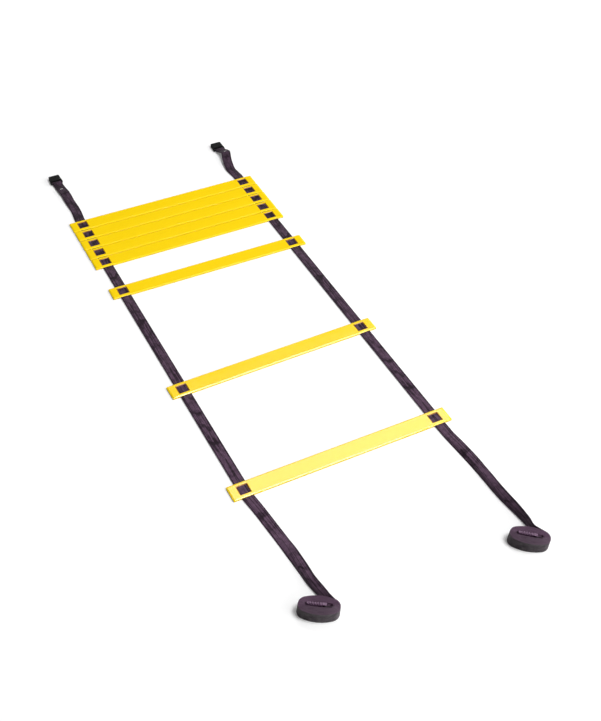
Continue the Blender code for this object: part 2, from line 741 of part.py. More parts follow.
def add_bartacks(finish):
    """A ridge of thread across the folded layer of each strap."""
    for which in SIDES:
        upper = upper_layer(far_middle(which))
        bar = bar_place(which)
        reach = [abs(bar.y - p[1] - BARTACK_SETBACK) for p in upper]
        i = int(np.clip(np.argmin(reach), 1, len(upper) - 2))
        way = upper[i + 1] - upper[i - 1]
        lift = WEBBING_THICKNESS / 2 + TOUCH_GAP + BARTACK_HEIGHT / 2
        size = (BARTACK_ACROSS, BARTACK_ALONG, BARTACK_HEIGHT)
        bm = rounded_box(size, (0, 0, lift), BARTACK_ALONG / 3, BARTACK_HEIGHT / 3)
        tack = add_object(f"bartack_{which}", smooth(mesh_from(bm, f"bartack_{which}")), PARTS, finish)
        tack.location = upper[i]
        tack.rotation_euler = (math.atan2(way[2], math.hypot(way[0], way[1])), 0, math.atan2(-way[0], way[1]))


def stand(home):
    """Parent every part to one empty, which carries the near rung's place in the whole."""
    loose = [obj for obj in home.objects if obj.parent is None]
    carrier = bpy.data.objects.new("agility_ladder", None)
    home.objects.link(carrier)
    for obj in loose:
        obj.parent = carrier
    carrier.location = NEAR_RUNG_PLACE


clear_scene()
PARTS = collection("agility_ladder")
CUTTERS = collection("cutters")
rung_plastic = material("rung_plastic", YELLOW, 0.32)
webbing = material("webbing", WEBBING_COLOUR, 0.85)
buckle_plastic = material("buckle_plastic", BLACK, 0.4)
thread = material("thread", THREAD, 0.7)
add_rungs(rung_plastic)
add_sockets(buckle_plastic)
add_plugs(buckle_plastic)
for which_side in SIDES:
    add_strap(which_side, webbing)
    add_roll(which_side, webbing)
add_bartacks(thread)
stand(PARTS)
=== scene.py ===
# %% [markdown]
# # An agility ladder, dressed for its picture
#
# An agility ladder is a training aid for quick feet: flat plastic rungs that slide on two webbing straps.
# Here five rungs are pushed together at the far end and three are spread out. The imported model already
# holds every piece at its real size, so this script makes only the looks: finer rungs, one woven strap
# for each side, buckles with rounded edges, thread, floor, light and camera.

import json
import math

import bmesh
import bpy
import numpy as np
from mathutils import Matrix, Vector


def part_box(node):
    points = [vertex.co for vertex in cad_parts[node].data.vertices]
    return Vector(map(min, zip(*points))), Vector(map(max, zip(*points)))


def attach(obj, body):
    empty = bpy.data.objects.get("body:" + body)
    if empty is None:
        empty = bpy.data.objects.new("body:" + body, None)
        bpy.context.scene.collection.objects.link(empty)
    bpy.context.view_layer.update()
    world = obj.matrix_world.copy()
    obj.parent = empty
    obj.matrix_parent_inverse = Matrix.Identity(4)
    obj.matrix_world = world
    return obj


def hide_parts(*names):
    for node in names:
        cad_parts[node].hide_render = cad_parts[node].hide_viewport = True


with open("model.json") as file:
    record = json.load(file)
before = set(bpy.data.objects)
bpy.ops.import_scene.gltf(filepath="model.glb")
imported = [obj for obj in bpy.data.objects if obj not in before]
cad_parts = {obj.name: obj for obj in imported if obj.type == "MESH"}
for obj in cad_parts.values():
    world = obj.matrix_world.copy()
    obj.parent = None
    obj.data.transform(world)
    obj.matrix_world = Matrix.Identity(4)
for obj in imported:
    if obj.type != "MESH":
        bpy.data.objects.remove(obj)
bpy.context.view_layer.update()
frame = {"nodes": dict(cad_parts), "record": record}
MM = 0.001

# %% [markdown]
# ## The camera
#
# The camera stands where the photographer's did, which was worked out from the rungs: their ends give the
# direction, and the lengths give the distance. A camera's three axes are the columns of its matrix: right,
# up, and back towards the photographer.

# %% Place the camera
CAMERA_PLACE = Vector((-0.7783, -1.7524, 1.7216))
CAMERA_RIGHT = Vector((0.8929, -0.4503, 0.0040))
CAMERA_FORWARD = Vector((0.3300, 0.6484, -0.6860))
CAMERA_LENS_MM = 56.48


def put_in_scene(name, data):
    made = bpy.data.objects.new(name, data)
    bpy.context.scene.collection.objects.link(made)
    return made


def place_camera():
    forward = CAMERA_FORWARD.normalized()
    right = (CAMERA_RIGHT - CAMERA_RIGHT.dot(forward) * forward).normalized()
    up = right.cross(forward)
    camera = put_in_scene("camera", bpy.data.cameras.new("camera"))
    camera.data.lens = CAMERA_LENS_MM
    turn = Matrix((right, up, -forward)).transposed().to_4x4()
    camera.matrix_world = Matrix.Translation(CAMERA_PLACE) @ turn
    bpy.context.scene.camera = camera


place_camera()
print("camera looks down by", round(-math.degrees(math.asin(CAMERA_FORWARD.z)), 1), "degrees")

# %% [markdown]
# ## A bench for nodes
#
# Materials and Geometry Nodes are both trees of nodes. One method adds any node: its type, the values or
# wires of its inputs, and its settings. What it returns can stand in a sum, so shader maths is written as
# plain Python: `ribs * 0.4 + 0.6` adds the two Math nodes.

# %% Write the bench


def maths(operation):
    """A method that adds one Math node, fed by its wire and by what it's given."""

    def method(wire, *others):
        return wire.bench.node("ShaderNodeMath", dict(enumerate((wire, *others))), operation=operation)

    return method


class Wire:
    """One output of a node, which may stand in a Python expression."""

    __add__ = __radd__ = maths("ADD")
    __sub__ = maths("SUBTRACT")
    __mul__ = __rmul__ = maths("MULTIPLY")
    __truediv__ = maths("DIVIDE")
    __mod__ = maths("FLOORED_MODULO")
    __pow__ = maths("POWER")
    __abs__ = maths("ABSOLUTE")
    sin = maths("SINE")
    floor = maths("FLOOR")
    above = maths("GREATER_THAN")
    least = maths("MINIMUM")
    most = maths("MAXIMUM")

    def __init__(self, bench, socket):
        self.bench = bench
        self.socket = socket

    def __rsub__(self, other):
        return self.bench.node("ShaderNodeMath", {0: other, 1: self}, operation="SUBTRACT")

    def ramp(self, start, gain, top=1.0):
        """Nothing up to the start, then a rise by the gain as far as the top."""
        return ((self - start) * gain).most(0.0).least(top)

    def sibling(self, output):
        """Another output of the same node."""
        return Wire(self.bench, self.socket.node.outputs[output])


class Bench:
    """Adds nodes to one tree."""

    def __init__(self, tree):
        self.tree = tree

    def node(self, kind, values=None, output=0, **settings):
        made = self.tree.nodes.new(kind)
        for name, value in settings.items():
            setattr(made, name, value)
        for key, value in (values or {}).items():
            if isinstance(value, Wire):
                self.tree.links.new(value.socket, made.inputs[key])
            elif value is not None:
                made.inputs[key].default_value = value
        return Wire(self, made.outputs[output])

    def gather(self, kind, key, parts, values=None, **settings):
        """A node with one input that takes several wires."""
        made = self.node(kind, values, **settings)
        for part in parts:
            self.tree.links.new(part.socket, made.socket.node.inputs[key])
        return made

    def vector(self, *parts):
        return self.node("ShaderNodeCombineXYZ", dict(enumerate(parts)))

    def split(self, vector):
        """The X, Y and Z of a vector."""
        x = self.node("ShaderNodeSeparateXYZ", {0: vector})
        return [x.sibling(k) for k in range(3)]

    def mixed(self, share, first, second):
        """A colour between two others."""
        values = {0: share, 6: first, 7: second}
        return self.node("ShaderNodeMix", values, output=2, data_type="RGBA", clamp_factor=True)

    def object_place(self):
        """A point's place in its object's own frame."""
        return self.node("ShaderNodeTexCoord", output=3)

    def noise(self, place, scale, detail=2.0, roughness=0.5):
        """Noise at a place. A scale of three numbers draws it out along the axes."""
        if isinstance(scale, tuple):
            place, scale = self.node("ShaderNodeMapping", {"Vector": place, "Scale": scale}), 1.0
        values = {"Vector": place, "Scale": scale, "Detail": detail, "Roughness": roughness}
        return self.node("ShaderNodeTexNoise", values)

    def bumped(self, height, depth):
        """A normal that follows the height, whose full range is as deep as given in metres."""
        return self.node("ShaderNodeBump", {"Height": height, "Distance": depth, "Strength": 1.0})


print("bench ready")

# %% [markdown]
# ## A finish
#
# Every finish here is one Principled shader. What is the same all over the surface is set on its socket,
# and what changes over the surface is linked: colour, roughness and the bump. Those come from a pattern, a
# function that lays out their nodes on the bench and returns their wires.

# %% Write the finish


def finish(name, constants, pattern):
    """A new Principled material, with its constants set and its pattern linked."""
    made = bpy.data.materials.new(name)
    made.use_nodes = True
    shader = made.node_tree.nodes["Principled BSDF"]
    for key, value in constants.items():
        shader.inputs[key].default_value = value
    bench = Bench(made.node_tree)
    for key, wire in pattern(bench).items():
        bench.tree.links.new(wire.socket, shader.inputs[key])
    print(name, len(made.node_tree.nodes), "nodes")
    return made


# %% [markdown]
# ## Yellow rung plastic
#
# The rungs are moulded in a strong yellow with a soft gloss. Up close such a plate has a faint orange-peel
# skin, a few long rub marks from being pushed along the ground, and a colour that drifts slightly where the
# melt has flowed. All three could be painted as an image, but noise in object coordinates needs none, and
# no two rungs look alike. The lips of the windows are painted brown, as painted shade on their inner
# walls: the rung's mesh marks those faces with an attribute named rim.

# %% Make the rung plastic
RUNG_YELLOW = (0.97, 0.68, 0.001, 1.0)
RUNG_YELLOW_DEEP = (0.95, 0.645, 0.001, 1.0)
# The brown of painted shade on the lips of the windows.
WINDOW_SHADE_BROWN = (0.30, 0.10, 0.001, 1.0)
WINDOW_SHADE_SHARE = 0.92
DRIFT_NOISE = ((6.0, 25.0, 25.0), 3.0)
SKIN_NOISE = (900.0, 2.0)
RUB_NOISE = ((14.0, 900.0, 60.0), 3.0, 0.6)
RUB_FROM, RUB_GAIN = 0.60, 6.0
RUNG_DULLNESS, DRIFT_DULLS, RUB_DULLS = 0.12, 0.06, 0.12
SKIN_SHARE, SKIN_DEPTH = 0.8, 0.02 * MM


def rung_pattern(bench):
    place = bench.object_place()
    drift = bench.noise(place, *DRIFT_NOISE)
    skin = bench.noise(place, *SKIN_NOISE)
    marks = (bench.noise(place, *RUB_NOISE) - RUB_FROM).most(0.0) * RUB_GAIN
    # The faces marked rim, round the windows, are painted brown as painted shade.
    rim = bench.node("ShaderNodeAttribute", output=2, attribute_name="rim")
    yellow = bench.mixed(drift, RUNG_YELLOW_DEEP, RUNG_YELLOW)
    return {
        "Base Color": bench.mixed(rim * WINDOW_SHADE_SHARE, yellow, WINDOW_SHADE_BROWN),
        "Roughness": RUNG_DULLNESS + DRIFT_DULLS * drift + RUB_DULLS * marks.least(1.0),
        "Normal": bench.bumped(skin * SKIN_SHARE + marks * (1 - SKIN_SHARE), SKIN_DEPTH),
    }


rung_plastic = finish("rung_plastic", {"IOR": 1.5, "Specular IOR Level": 0.5}, rung_pattern)

# %% [markdown]
# ## Webbing
#
# The straps are woven in dark plum yarn. The lengthwise yarns lie in narrow columns, and each shows as a
# row of slanted floats, half a step on from its neighbour's. The pattern is drawn in the strap's own UV
# map, in metres, so it follows the strap round its roll: U runs along the webbing and V round it, over its
# face and back under it. The gaps between the floats are painted darker, as painted shade. Lengthwise
# streaks are painted shade, as along folds, creases are patches of painted shade at uneven steps, and both
# edges get a band of painted shade beside a painted highlight on the rim of the selvedge, which lights
# the roll's top. The near end is painted lighter than the far end, as painted light, and the wound part's
# outside is painted greyer, as a painted reflection of the white floor.

# %% Make the webbing's finish
WEBBING_WIDTH = 25.0 * MM
WEBBING_CONSTANTS = {
    "Specular Tint": (0.92, 0.66, 0.90, 1.0),
    "Specular IOR Level": 0.10,
    "Sheen Weight": 0.04,
}
YARN_DARK = (0.016, 0.009, 0.015, 1.0)
YARN_LIGHT = (0.148, 0.086, 0.140, 1.0)
# A grey painted on the roll's outside, as a painted reflection of the white floor.
PAINTED_REFLECTION_GREY = (0.140, 0.132, 0.134, 1.0)
YARN_COLUMN = 0.8 * MM
YARN_FLOAT = 2.2 * MM
FLOAT_OFFSET, FLOAT_SLANT = 0.5, 0.6
FLOAT_LOW = 0.35
# The width of the painted shade along each edge.
PAINTED_EDGE_WIDTH = 2.6 * MM
SELVEDGE_ROUND = 0.45 * MM
CLOTH_NOISE = {
    "blotch": ((90.0, 100.0, 1.0), 3.0, 0.6),
    "fleck": ((500.0, 900.0, 1.0), 2.0),
    "drift": ((9.0, 30.0, 1.0), 2.0),
    "deep": ((17.0, 22.0, 1.0), 1.0),
    "streak": ((13.0, 330.0, 1.0), 1.0),
}
CREASE_PITCH, CREASE_WANDER = 46.0 * MM, 2.6
CREASE_BENT, CREASE_DEEP = (0.45, 2.6), (0.36, 4.0)
FOLD_STREAK_RAMP = (0.53, 8.0, 0.62)
WOUND_FROM, PAINTED_REFLECTION_SHARE = 1.56, 0.85
# The near end is painted lighter over this length, as painted light.
NEAR_LIGHT_REACH = 1.3
# The second of these is the painted light that the near end gets.
SHADE_FAR_END, SHADE_NEAR_LIGHT, SHADE_MOST = 0.30, 0.48, 0.82
# Of these, the crease, gap and edge shares are painted shade, and the rim's share a painted highlight.
BLOTCH_SHADE, FLECK_SHADE, PAINTED_CREASE_SHADE = 1.5, 0.5, 0.6
PAINTED_GAP_SHADE, PAINTED_EDGE_SHADE, PAINTED_RIM_HIGHLIGHT = 0.6, 0.5, 0.9
CLOTH_DULLNESS, BLOTCH_GLOSS = 0.58, 0.12
FLECK_HEIGHT, CREASE_DEPTH, CLOTH_DEPTH = 0.15, 1.5, 0.22 * MM


def webbing_pattern(bench):
    cloth = bench.node("ShaderNodeUVMap", uv_map="strap")
    along, round_, _ = bench.split(cloth)
    under = round_.above(WEBBING_WIDTH)
    across = WEBBING_WIDTH - abs(round_ - WEBBING_WIDTH)
    column = across / YARN_COLUMN
    inside = column % 1.0
    odd = column.floor() % 2.0
    step = along / YARN_FLOAT + odd * FLOAT_OFFSET + inside * (FLOAT_SLANT - 2 * FLOAT_SLANT * odd)
    crown = abs((inside * math.pi).sin())
    yarn = crown * (FLOAT_LOW + (1 - FLOAT_LOW) * abs((step * math.pi).sin()))
    off_middle = abs(across - WEBBING_WIDTH / 2)
    # Both edges get a band of painted shade.
    edge = off_middle.above(WEBBING_WIDTH / 2 - PAINTED_EDGE_WIDTH)
    # The selvedge's rim is painted lighter, as a painted highlight, which lights the roll's top.
    rim = off_middle.above(WEBBING_WIDTH / 2 - SELVEDGE_ROUND)
    blotch, fleck, drift, deep, streak = [bench.noise(cloth, *look) for look in CLOTH_NOISE.values()]
    bend = ((along / CREASE_PITCH + drift * CREASE_WANDER) * (2 * math.pi)).sin()
    # Creases are painted darker, as painted shade, and also dip in the bump.
    crease = bend.ramp(*CREASE_BENT) * deep.ramp(*CREASE_DEEP)
    wound = along.above(WOUND_FROM)
    # Towards the near end the webbing is painted lighter, as painted light.
    painted_near_light = (along / NEAR_LIGHT_REACH).least(1.0)
    # Lengthwise dark streaks are painted shade, as along folds.
    fold_streak_shade = streak.ramp(*FOLD_STREAK_RAMP) * (1.0 - wound)
    shade = SHADE_FAR_END + SHADE_NEAR_LIGHT * painted_near_light + (blotch - 0.5) * BLOTCH_SHADE + (fleck - 0.5) * FLECK_SHADE
    # The gaps between the yarn floats are painted darker, as painted shade.
    shade = (shade - crease * PAINTED_CREASE_SHADE - fold_streak_shade) * (PAINTED_GAP_SHADE + (1 - PAINTED_GAP_SHADE) * yarn)
    # Painted shade at the edges, and a painted highlight on the rim.
    shade = shade - edge * PAINTED_EDGE_SHADE * (1.0 - wound) + rim * PAINTED_RIM_HIGHLIGHT
    # The wound part's outside is painted greyer, as a painted reflection of the white floor.
    light = bench.mixed(under * wound * PAINTED_REFLECTION_SHARE, YARN_LIGHT, PAINTED_REFLECTION_GREY)
    height = yarn + FLECK_HEIGHT * fleck - CREASE_DEPTH * crease
    return {
        "Base Color": bench.mixed(shade.most(0.0).least(SHADE_MOST), YARN_DARK, light),
        "Roughness": CLOTH_DULLNESS - BLOTCH_GLOSS * blotch,
        "Normal": bench.bumped(height, CLOTH_DEPTH),
    }


webbing = finish("webbing", WEBBING_CONSTANTS, webbing_pattern)

# %% [markdown]
# ## Buckle plastic and thread
#
# The buckle is black acetal. Its mould was blasted, so the flats are satin and finely grained. The plug is
# glossier, with a plum-tinted gloss, and is coloured a lighter plum, which paints part of the bright
# highlights on its ribs. One function makes both finishes, because only their colours and gloss differ.
# The thread of the sewn bars is pale, with a fine twist in it, painted darker in its grooves as painted
# shade. Slanted waves are enough for something so small.

# %% Make the buckle plastic and the thread
SOCKET_LOOK = {
    "dark": (0.004, 0.0039, 0.0041, 1.0),
    "pale": (0.009, 0.0088, 0.0095, 1.0),
    "roughness": 0.40,
    "constants": {"IOR": 1.48, "Specular IOR Level": 0.10},
}
# The plug's lighter plum colour paints part of the highlights on its ribs.
PLUG_LOOK = {
    "dark": (0.045, 0.022, 0.042, 1.0),
    "pale": (0.15, 0.085, 0.145, 1.0),
    "roughness": 0.20,
    "constants": {"IOR": 1.5, "Specular IOR Level": 0.75, "Specular Tint": (1.0, 0.74, 0.98, 1.0)},
}
GRAIN_NOISE, RUBBED_NOISE = (2600.0, 2.0), (120.0, 3.0)
RUBBED_DULLS, GRAIN_DEPTH = 0.22, 0.03 * MM
THREAD_PALE = (0.74, 0.73, 0.72, 1.0)
# The colour in the twist's grooves, as painted shade.
THREAD_GROOVE_SHADE = (0.42, 0.41, 0.40, 1.0)
TWIST_PITCH, TWIST_DEPTH = 0.35 * MM, 0.05 * MM
THREAD_DULLNESS, TWIST_DULLS = 0.55, 0.15


def buckle_plastic(name, look):
    def pattern(bench):
        place = bench.object_place()
        grain, rubbed = bench.noise(place, *GRAIN_NOISE), bench.noise(place, *RUBBED_NOISE)
        return {
            "Base Color": bench.mixed(rubbed, look["dark"], look["pale"]),
            "Roughness": look["roughness"] + RUBBED_DULLS * rubbed,
            "Normal": bench.bumped(grain, GRAIN_DEPTH),
        }

    return finish(name, look["constants"], pattern)


def thread_pattern(bench):
    x, y, _ = bench.split(bench.object_place())
    twist = ((x + y) * (2 * math.pi / TWIST_PITCH)).sin() * 0.5 + 0.5
    return {
        # The twist's grooves are painted darker, as painted shade.
        "Base Color": bench.mixed(twist, THREAD_GROOVE_SHADE, THREAD_PALE),
        "Roughness": THREAD_DULLNESS + TWIST_DULLS * twist,
        "Normal": bench.bumped(twist, TWIST_DEPTH),
    }


buckle_plastics = {
    "socket": buckle_plastic("buckle_plastic", SOCKET_LOOK),
    "plug": buckle_plastic("plug_plastic", PLUG_LOOK),
}
thread = finish("thread", {"Sheen Weight": 0.2}, thread_pattern)

# %% [markdown]
# ## Meshes
#
# Small helpers that the pieces share. A stack of modifiers is turned into a plain mesh with
# `new_from_object`, and its piece is left with no modifier at all.

# %% Write the mesh helpers
MERGE_DISTANCE = 0.01 * MM


def body_of(node):
    return next(name for name, nodes in frame["record"]["behaviour"]["bodies"].items() if node in nodes)


def add_piece(name, mesh, finish_used, slot, *nodes):
    """A finished piece: it rides on its body and stands for its CAD nodes."""
    mesh.name = name
    mesh.materials.clear()
    mesh.materials.append(finish_used)
    piece = put_in_scene(name, mesh)
    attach(piece, body_of(nodes[0]))
    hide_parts(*nodes)


def edited(mesh, change):
    """The mesh after a change made through bmesh."""
    bm = bmesh.new()
    bm.from_mesh(mesh)
    change(bm)
    bm.to_mesh(mesh)
    bm.free()
    return mesh


def settled(obj):
    """The plain mesh that an object's modifiers make. The object itself is thrown away."""
    bpy.context.view_layer.update()
    mesh = bpy.data.meshes.new_from_object(obj.evaluated_get(bpy.context.evaluated_depsgraph_get()))
    obj.modifiers.clear()
    bpy.data.objects.remove(obj)
    return mesh


def smooth(mesh, angle):
    mesh.shade_smooth()
    mesh.set_sharp_from_angle(angle=math.radians(angle))
    return mesh


def hardened(mesh):
    """The mesh with normals that follow its large faces, so that flats stay flat beside round edges."""
    obj = put_in_scene("hardened", mesh)
    weighted = obj.modifiers.new("normals", "WEIGHTED_NORMAL")
    weighted.weight = 100
    weighted.keep_sharp = True
    return settled(obj)


print("helpers ready")

# %% [markdown]
# ## Geometry Nodes in Python
#
# A tree has named inputs, so that the same tree can make a piece of another size. `new_tree` names them,
# and `grow` fills them in by their identifiers, because a modifier doesn't know the names.

# %% Write the Geometry Nodes helpers
SOCKET_KINDS = {int: "Int", float: "Float", tuple: "Vector"}


def new_tree(name, inputs):
    """A geometry tree with the named inputs. Returns its bench and the wires of its inputs."""
    tree = bpy.data.node_groups.new(name, "GeometryNodeTree")
    kinds = {label: SOCKET_KINDS[type(value)] for label, value in inputs.items()}
    kinds = {"Geometry": "Geometry", **kinds, "Material": "Material"}
    for label, kind in kinds.items():
        tree.interface.new_socket(label, in_out="INPUT", socket_type="NodeSocket" + kind)
    tree.interface.new_socket("Geometry", in_out="OUTPUT", socket_type="NodeSocketGeometry")
    bench = Bench(tree)
    entry = tree.nodes.new("NodeGroupInput")
    return bench, {label: Wire(bench, entry.outputs[label]) for label in kinds}


def closed_tree(bench, geometry, material_wire):
    """Every tree ends the same way: real geometry, with its material set."""
    real = bench.node("GeometryNodeRealizeInstances", {0: geometry})
    dressed = bench.node("GeometryNodeSetMaterial", {"Geometry": real, "Material": material_wire})
    out = bench.tree.nodes.new("NodeGroupOutput")
    bench.tree.links.new(dressed.socket, out.inputs[0])
    return bench.tree


def moved(bench, geometry, place):
    """Geometry moved to a place of three wires or numbers."""
    return bench.node("GeometryNodeTransform", {"Geometry": geometry, "Translation": bench.vector(*place)})


def block(bench, size, place):
    cube = bench.node("GeometryNodeMeshCube", {"Size": bench.vector(*size)})
    return moved(bench, cube, place)


def row_of_points(bench, count, start, step):
    values = {"Count": count, "Start Location": start, "Offset": step}
    return bench.node("GeometryNodeMeshLine", values, mode="OFFSET")


def grow(obj, tree, inputs, material):
    """Add the tree to an object as a modifier, with its inputs set."""
    step = obj.modifiers.new(tree.name, "NODES")
    step.node_group = tree
    labels = {item.name: item.identifier for item in tree.interface.items_tree if item.in_out == "INPUT"}
    for label, value in {**inputs, "Material": material}.items():
        step[labels[label]] = value


print("geometry helpers ready")

# %% [markdown]
# ## The rung
#
# A rung is a flat plate with a window near each end. At each window two bars of the plate pass over the
# strap and a thin bridge passes under it, so the strap holds by friction and the rung can still be slid.
# Its shape follows a rule, so Geometry Nodes make it, and each size can be changed in one place. One tree
# draws the plate, with a narrow ledge and then a chamfer round its top. A Bevel modifier takes the
# sharpness off its edges. A second tree cuts the windows with their rolled lips, the tunnels for the strap
# and the round mark of the mould's gate, and marks the faces round each window for the painted shade on
# their lips.

# %% Give the rung's sizes
RUNG_SIZES = {
    "Length": 502.0 * MM,
    "Width": 40.0 * MM,
    "Thickness": 4.0 * MM,
    "Corner Radius": 2.0 * MM,
    "Ledge Reach": 0.9 * MM,
    "Ledge Drop": 0.05 * MM,
    "Chamfer Reach": 1.9 * MM,
    "Chamfer Drop": 1.05 * MM,
}
CUT_SIZES = {
    "Width": 40.0 * MM,
    "Thickness": 4.0 * MM,
    "Window Across": 21.2 * MM,
    "Window Along": 21.0 * MM,
    "Window Corner": 1.2 * MM,
    "Window Spacing": 441.5 * MM,
    "Lip Radius": 2.2 * MM,
    "Bridge Thickness": 0.9 * MM,
    "Tunnel Width": 26.6 * MM,
    "Tunnel Top": 2.7 * MM,
    "Gate Radius": 1.6 * MM,
    "Gate Depth": 0.4 * MM,
}
EDGE_RADIUS, EDGE_ANGLE = 0.22 * MM, 22.0
CORNER_POINTS = 6
LIP_STEPS = 4
GATE_SIDES, GATE_TAPER = 24, 0.4
CUT_PAST, SLOT_PAST, RIM_PAST = 2.0 * MM, 0.5 * MM, 0.2 * MM
RUNG_SMOOTH = 40.0

# %% Draw the plate


def rounded_sheet(bench, length, width, corner):
    """A flat face with round corners, facing up."""
    outline = bench.node("GeometryNodeCurvePrimitiveQuadrilateral", {"Width": length, "Height": width})
    corners = {"Curve": outline, "Count": CORNER_POINTS, "Radius": corner}
    outline = bench.node("GeometryNodeFilletCurve", corners, mode="POLY")
    return bench.node("GeometryNodeFillCurve", {"Curve": outline}, mode="NGONS")


def raised(bench, shape, height, top=None):
    """Push a sheet, or a shape's top, up by a height. Returns the shape and its top's selection."""
    values = {"Mesh": shape, "Selection": top, "Offset Scale": height, "Individual": False}
    shape = bench.node("GeometryNodeExtrudeMesh", values, mode="FACES")
    return shape, shape.sibling("Top")


def closed(bench, walls, sheet):
    """Close the underside of raised walls with the sheet that they grew from."""
    under = bench.node("GeometryNodeFlipFaces", {"Mesh": sheet})
    both = bench.gather("GeometryNodeJoinGeometry", 0, (walls, under))
    return bench.node("GeometryNodeMergeByDistance", {"Geometry": both, "Distance": MERGE_DISTANCE})


def plate_tree():
    bench, size = new_tree("rung_plate", RUNG_SIZES)
    sheet = rounded_sheet(bench, size["Length"], size["Width"], size["Corner Radius"])
    shape, top = raised(bench, sheet, size["Thickness"] - size["Ledge Drop"] - size["Chamfer Drop"])
    spans = [((1.0, 0.0, 0.0), size["Length"]), ((0.0, 1.0, 0.0), size["Width"])]
    one_way = {"domain": "FACE", "scale_mode": "SINGLE_AXIS"}
    for slope in ("Ledge", "Chamfer"):
        both_reaches = size[slope + " Reach"] * 2.0
        shape, top = raised(bench, shape, size[slope + " Drop"], top)
        for axis, span in spans:
            values = {"Geometry": shape, "Selection": top, "Scale": 1.0 - both_reaches / span, "Axis": axis}
            shape = bench.node("GeometryNodeScaleElements", values, **one_way)
        spans = [(axis, span - both_reaches) for axis, span in spans]
    return closed_tree(bench, closed(bench, shape, sheet), size["Material"])


PLATE_TREE = plate_tree()
print("plate tree:", len(PLATE_TREE.nodes), "nodes")

# %% Cut the windows and the tunnels


def window_plug(bench, size):
    """What is cut out for one window: straight walls from the bridge up, then a lip that rolls outward."""
    sheet = rounded_sheet(bench, size["Window Across"], size["Window Along"], size["Window Corner"])
    straight = size["Thickness"] - size["Lip Radius"] - size["Bridge Thickness"]
    shape, top = raised(bench, sheet, straight)
    span = 1.0
    for step in range(1, LIP_STEPS + 1):
        before, after = [math.pi / 2 * number / LIP_STEPS for number in (step - 1, step)]
        shape, top = raised(bench, shape, size["Lip Radius"] * (math.sin(after) - math.sin(before)), top)
        wide = 1.0 + size["Lip Radius"] * (2 * (1 - math.cos(after))) / size["Window Across"]
        values = {"Geometry": shape, "Selection": top, "Scale": wide / span}
        shape = bench.node("GeometryNodeScaleElements", values, domain="FACE")
        span = wide
    shape, _ = raised(bench, shape, size["Thickness"], top)
    return closed(bench, shape, sheet)


def cuts_tree():
    bench, size = new_tree("rung_cuts", CUT_SIZES)
    bridge, tunnel, window = size["Bridge Thickness"], size["Tunnel Top"], size["Window Along"]
    bar = (size["Width"] - window) * 0.5
    tools = []
    for sign in (-0.5, 0.5):
        x = size["Window Spacing"] * sign
        tools.append(moved(bench, window_plug(bench, size), (x, 0.0, bridge)))
        slot = (size["Tunnel Width"], window + SLOT_PAST, tunnel - bridge)
        tools.append(block(bench, slot, (x, 0.0, (tunnel + bridge) * 0.5)))
        for side in (-0.5, 0.5):
            channel = (size["Tunnel Width"], bar + CUT_PAST, tunnel + CUT_PAST)
            y = (window + bar + CUT_PAST) * side
            tools.append(block(bench, channel, (x, y, (tunnel - CUT_PAST) * 0.5)))
    gate = {"Vertices": GATE_SIDES, "Radius Top": size["Gate Radius"], "Depth": size["Gate Depth"] * 2.0}
    gate["Radius Bottom"] = size["Gate Radius"] * GATE_TAPER
    mark = bench.node("GeometryNodeMeshCone", gate)
    tools.append(moved(bench, mark, (0.0, 0.0, size["Thickness"] - size["Gate Depth"])))
    exact = {"operation": "DIFFERENCE", "solver": "EXACT"}
    cut = bench.gather("GeometryNodeMeshBoolean", 1, tools, {0: size["Geometry"]}, **exact)
    x, y, _ = bench.split(bench.node("GeometryNodeInputPosition"))
    reach = size["Lip Radius"] + RIM_PAST
    near_x = 1.0 - abs(abs(x) - size["Window Spacing"] * 0.5).above(size["Window Across"] * 0.5 + reach)
    near_y = 1.0 - abs(y).above(window * 0.5 + reach)
    values = {"Geometry": cut, "Name": "rim", "Value": near_x * near_y}
    marked = bench.node("GeometryNodeStoreNamedAttribute", values, data_type="FLOAT", domain="FACE")
    return closed_tree(bench, marked, size["Material"])


def rung_mesh():
    blank = put_in_scene("rung_blank", bpy.data.meshes.new("rung_blank"))
    grow(blank, PLATE_TREE, RUNG_SIZES, rung_plastic)
    rims = blank.modifiers.new("rims", "BEVEL")
    rims.width = EDGE_RADIUS
    rims.segments = 2
    rims.limit_method = "ANGLE"
    rims.angle_limit = math.radians(EDGE_ANGLE)
    grow(blank, cuts_tree(), CUT_SIZES, rung_plastic)
    return hardened(smooth(settled(blank), RUNG_SMOOTH))


RUNG = rung_mesh()
print("rung:", len(RUNG.vertices), "vertices,", len(RUNG.polygons), "faces")

# %% [markdown]
# ## Where the rungs lie
#
# Each rung's place comes from its CAD node: the middle of its box, and the direction in which its
# corners spread most. The rungs aren't quite square to the straps, because the photograph's aren't.

# %% Lay the rungs


def main_directions(node, axes):
    """The directions in which a node's corners spread over its first axes. The widest comes last."""
    corners = np.array([vertex.co[:axes] for vertex in frame["nodes"][node].data.vertices])
    return np.linalg.eigh(np.cov((corners - corners.mean(0)).T))[1]


def lay_rungs():
    for number in range(1, 9):
        node = f"rung_{number}"
        low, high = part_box(node)
        x, y = main_directions(node, 2)[:, 1]
        turn = math.atan2(y * math.copysign(1, x), abs(x))
        middle = (low + high) / 2
        mesh = RUNG.copy()
        mesh.transform(Matrix.Translation((middle.x, middle.y, low.z)) @ Matrix.Rotation(turn, 4, "Z"))
        add_piece(f"{node}_moulded", mesh, rung_plastic, "rung_plastic", node)
        print(node, "turned", round(math.degrees(turn), 2), "degrees")


lay_rungs()

# %% [markdown]
# ## The strap's route
#
# Each strap is one length of webbing. From its sewn end it runs over the buckle's bar and back under
# itself, straight through all the rungs, then lifts on edge and winds into an oval roll round the
# buckle's plug. The route is kept as lines of points across the webbing, from one selvedge to the other, so
# the same mesh code serves the flat run, the twist and the roll.

